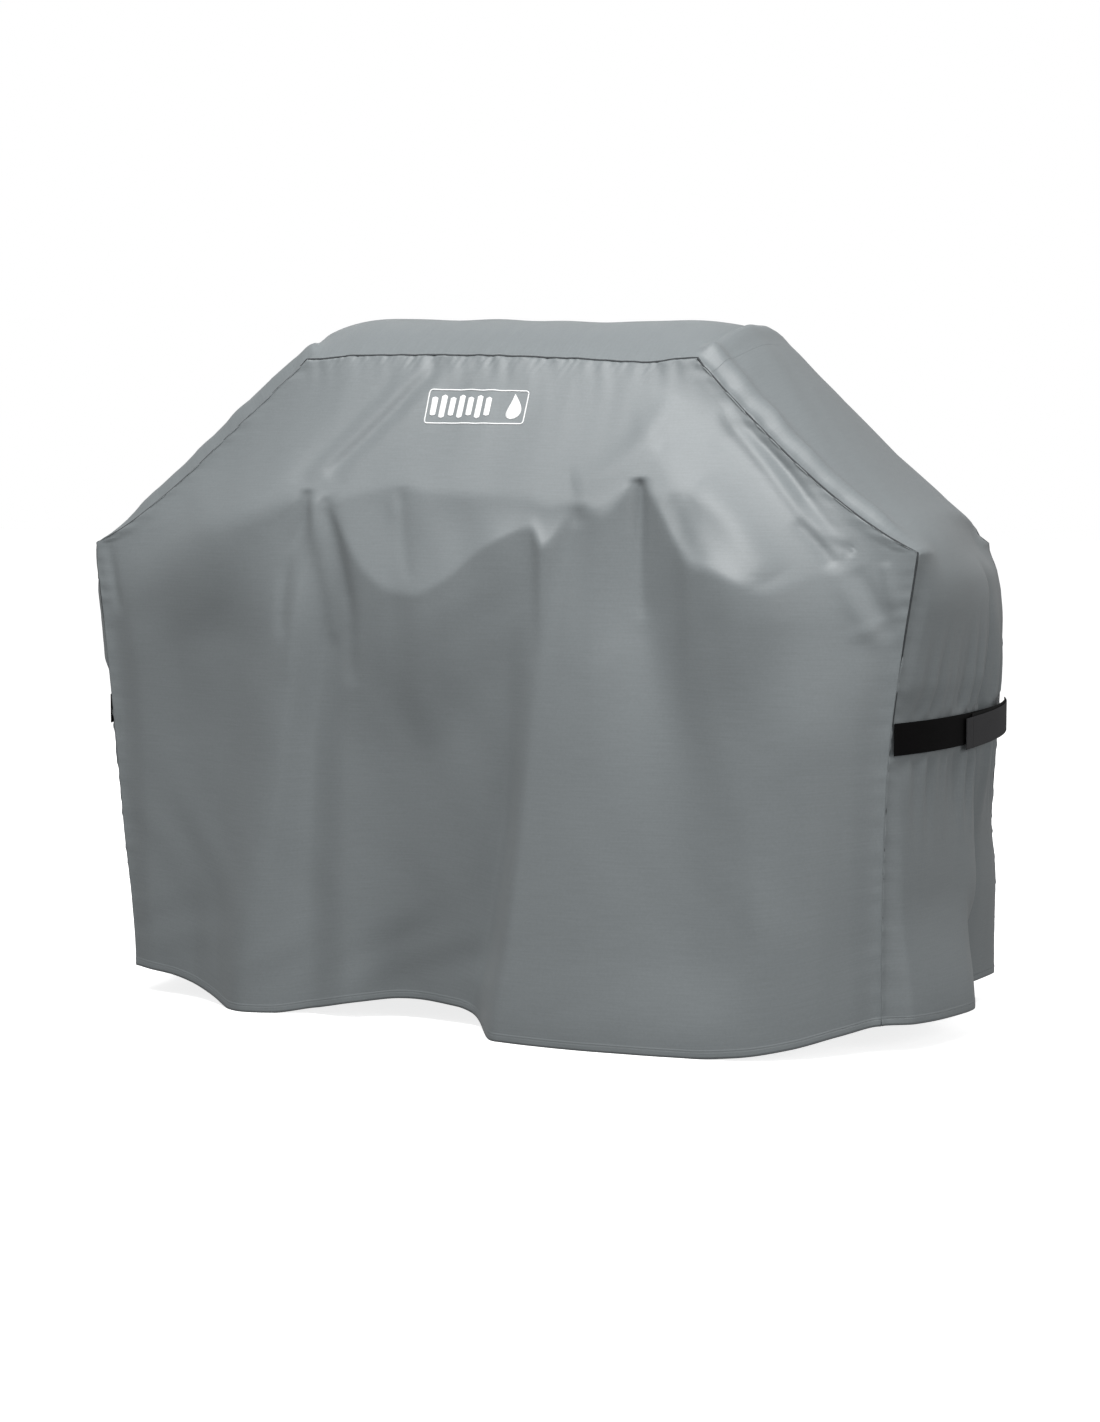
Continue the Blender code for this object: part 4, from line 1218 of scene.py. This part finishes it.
ink, tree, shader = new_material("white print")
shader.inputs["Roughness"].default_value = 0.5
place = tree.nodes.new("ShaderNodeTexCoord").outputs["Object"]
speck = place_group(tree, DUST, Place=place, Scale=30.0).outputs["Speck"]
mottle = shade(tree, (0.80, 0.81, 0.81), (0.92, 0.93, 0.93), calculate(tree, "ADD", speck, 0.5))
tree.links.new(mottle, shader.inputs["Base Color"])


def front_face(x, height):
    """Points of the front panel's face at x and a row height."""
    depth = panel_depth(x, x / seam_x(height), height, **FRONT_SHAPE)
    z = height + top_seam_wave(x, -1) * ease((height - 0.90) / (TOP_SEAM_HEIGHT - 0.90))
    return np.stack([x, -depth, z], axis=-1)


def on_front(u, v):
    """Points just off the front panel's face, u across and v up the lid slope from the mark's centre."""
    x = PRINT_X + u
    height = PRINT_HEIGHT + v / math.hypot(1.0, LID_SLOPE)
    nudge = 0.002
    centre = front_face(x, height)
    normal = np.cross(front_face(x + nudge, height) - centre, front_face(x, height + nudge) - centre)
    return centre + INK_LIFT * normal / np.linalg.norm(normal, axis=-1)[..., None]


def rounded_box(width, height, radius):
    """Points round a closed rectangle with rounded corners: four quarter circles of six points each."""
    turn = np.linspace(0.0, math.pi / 2, 6)
    corners = []
    for cx, cy, first in ((1, 1, 0.0), (-1, 1, 0.5), (-1, -1, 1.0), (1, -1, 1.5)):
        angle = turn + first * math.pi
        corners.append(np.stack([cx * (width / 2 - radius) + radius * np.cos(angle),
                                 cy * (height / 2 - radius) + radius * np.sin(angle)], axis=1))
    return np.concatenate([*corners, corners[0][:1]])


outer = rounded_box(*PRINT_SIZE, FRAME_RADIUS)
inside = rounded_box(*(size - 2 * FRAME_LINE for size in PRINT_SIZE), FRAME_RADIUS - FRAME_LINE)
length = run_along(outer)
at = np.linspace(0.0, length[-1], 150)
frame_sides = [
    np.stack([np.interp(at, length, line[:, k]) for k in (0, 1)], axis=1) for line in (outer, inside)
]
shapes = [np.stack(frame_sides, axis=1)]
across = np.linspace(-1.0, 1.0, 7)[None, :]
up = np.linspace(-1.0, 1.0, 17)[:, None]
narrow = np.sqrt(1.0 - np.clip((np.abs(up) - 0.85) / 0.15, 0.0, 1.0) ** 2)
for number, tall in enumerate(BAR_HEIGHTS):
    u = BAR_START + BAR_PITCH * number + BAR_HALF_WIDTH * across * np.maximum(narrow, 0.02)
    shapes.append(np.stack([u, tall / 2 * up + 0.0 * u], axis=-1))
up = np.linspace(0.0, 1.0, 21)[:, None]
wide = FLAME_SIZE[0] * np.sin(math.pi * up**0.62) ** 0.85 * (1.0 - 0.35 * up)
u = FLAME_PLACE[0] + 0.004 * np.sin(math.pi * up) + np.maximum(wide, 0.0002) * across
shapes.append(np.stack([u, FLAME_PLACE[1] + FLAME_SIZE[1] * up + 0.0 * u], axis=-1))

co, faces = [], []
for shape in shapes:
    points = on_front(shape[..., 0], shape[..., 1])
    quads = cells(np.arange(points.shape[0] * points.shape[1]).reshape(points.shape[:2]))
    if cell_normals(points, quads)[:, 1].sum() > 0.0:
        quads = quads[:, ::-1]
    faces.extend((quads + len(co)).tolist())
    co.extend(points.reshape(-1, 3).tolist())
mesh = smooth_mesh("front_mark", np.array(co), faces)
mark = add_piece("front_mark", mesh, ink, INK_THICKNESS)
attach(mark, "root")
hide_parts("front_print")
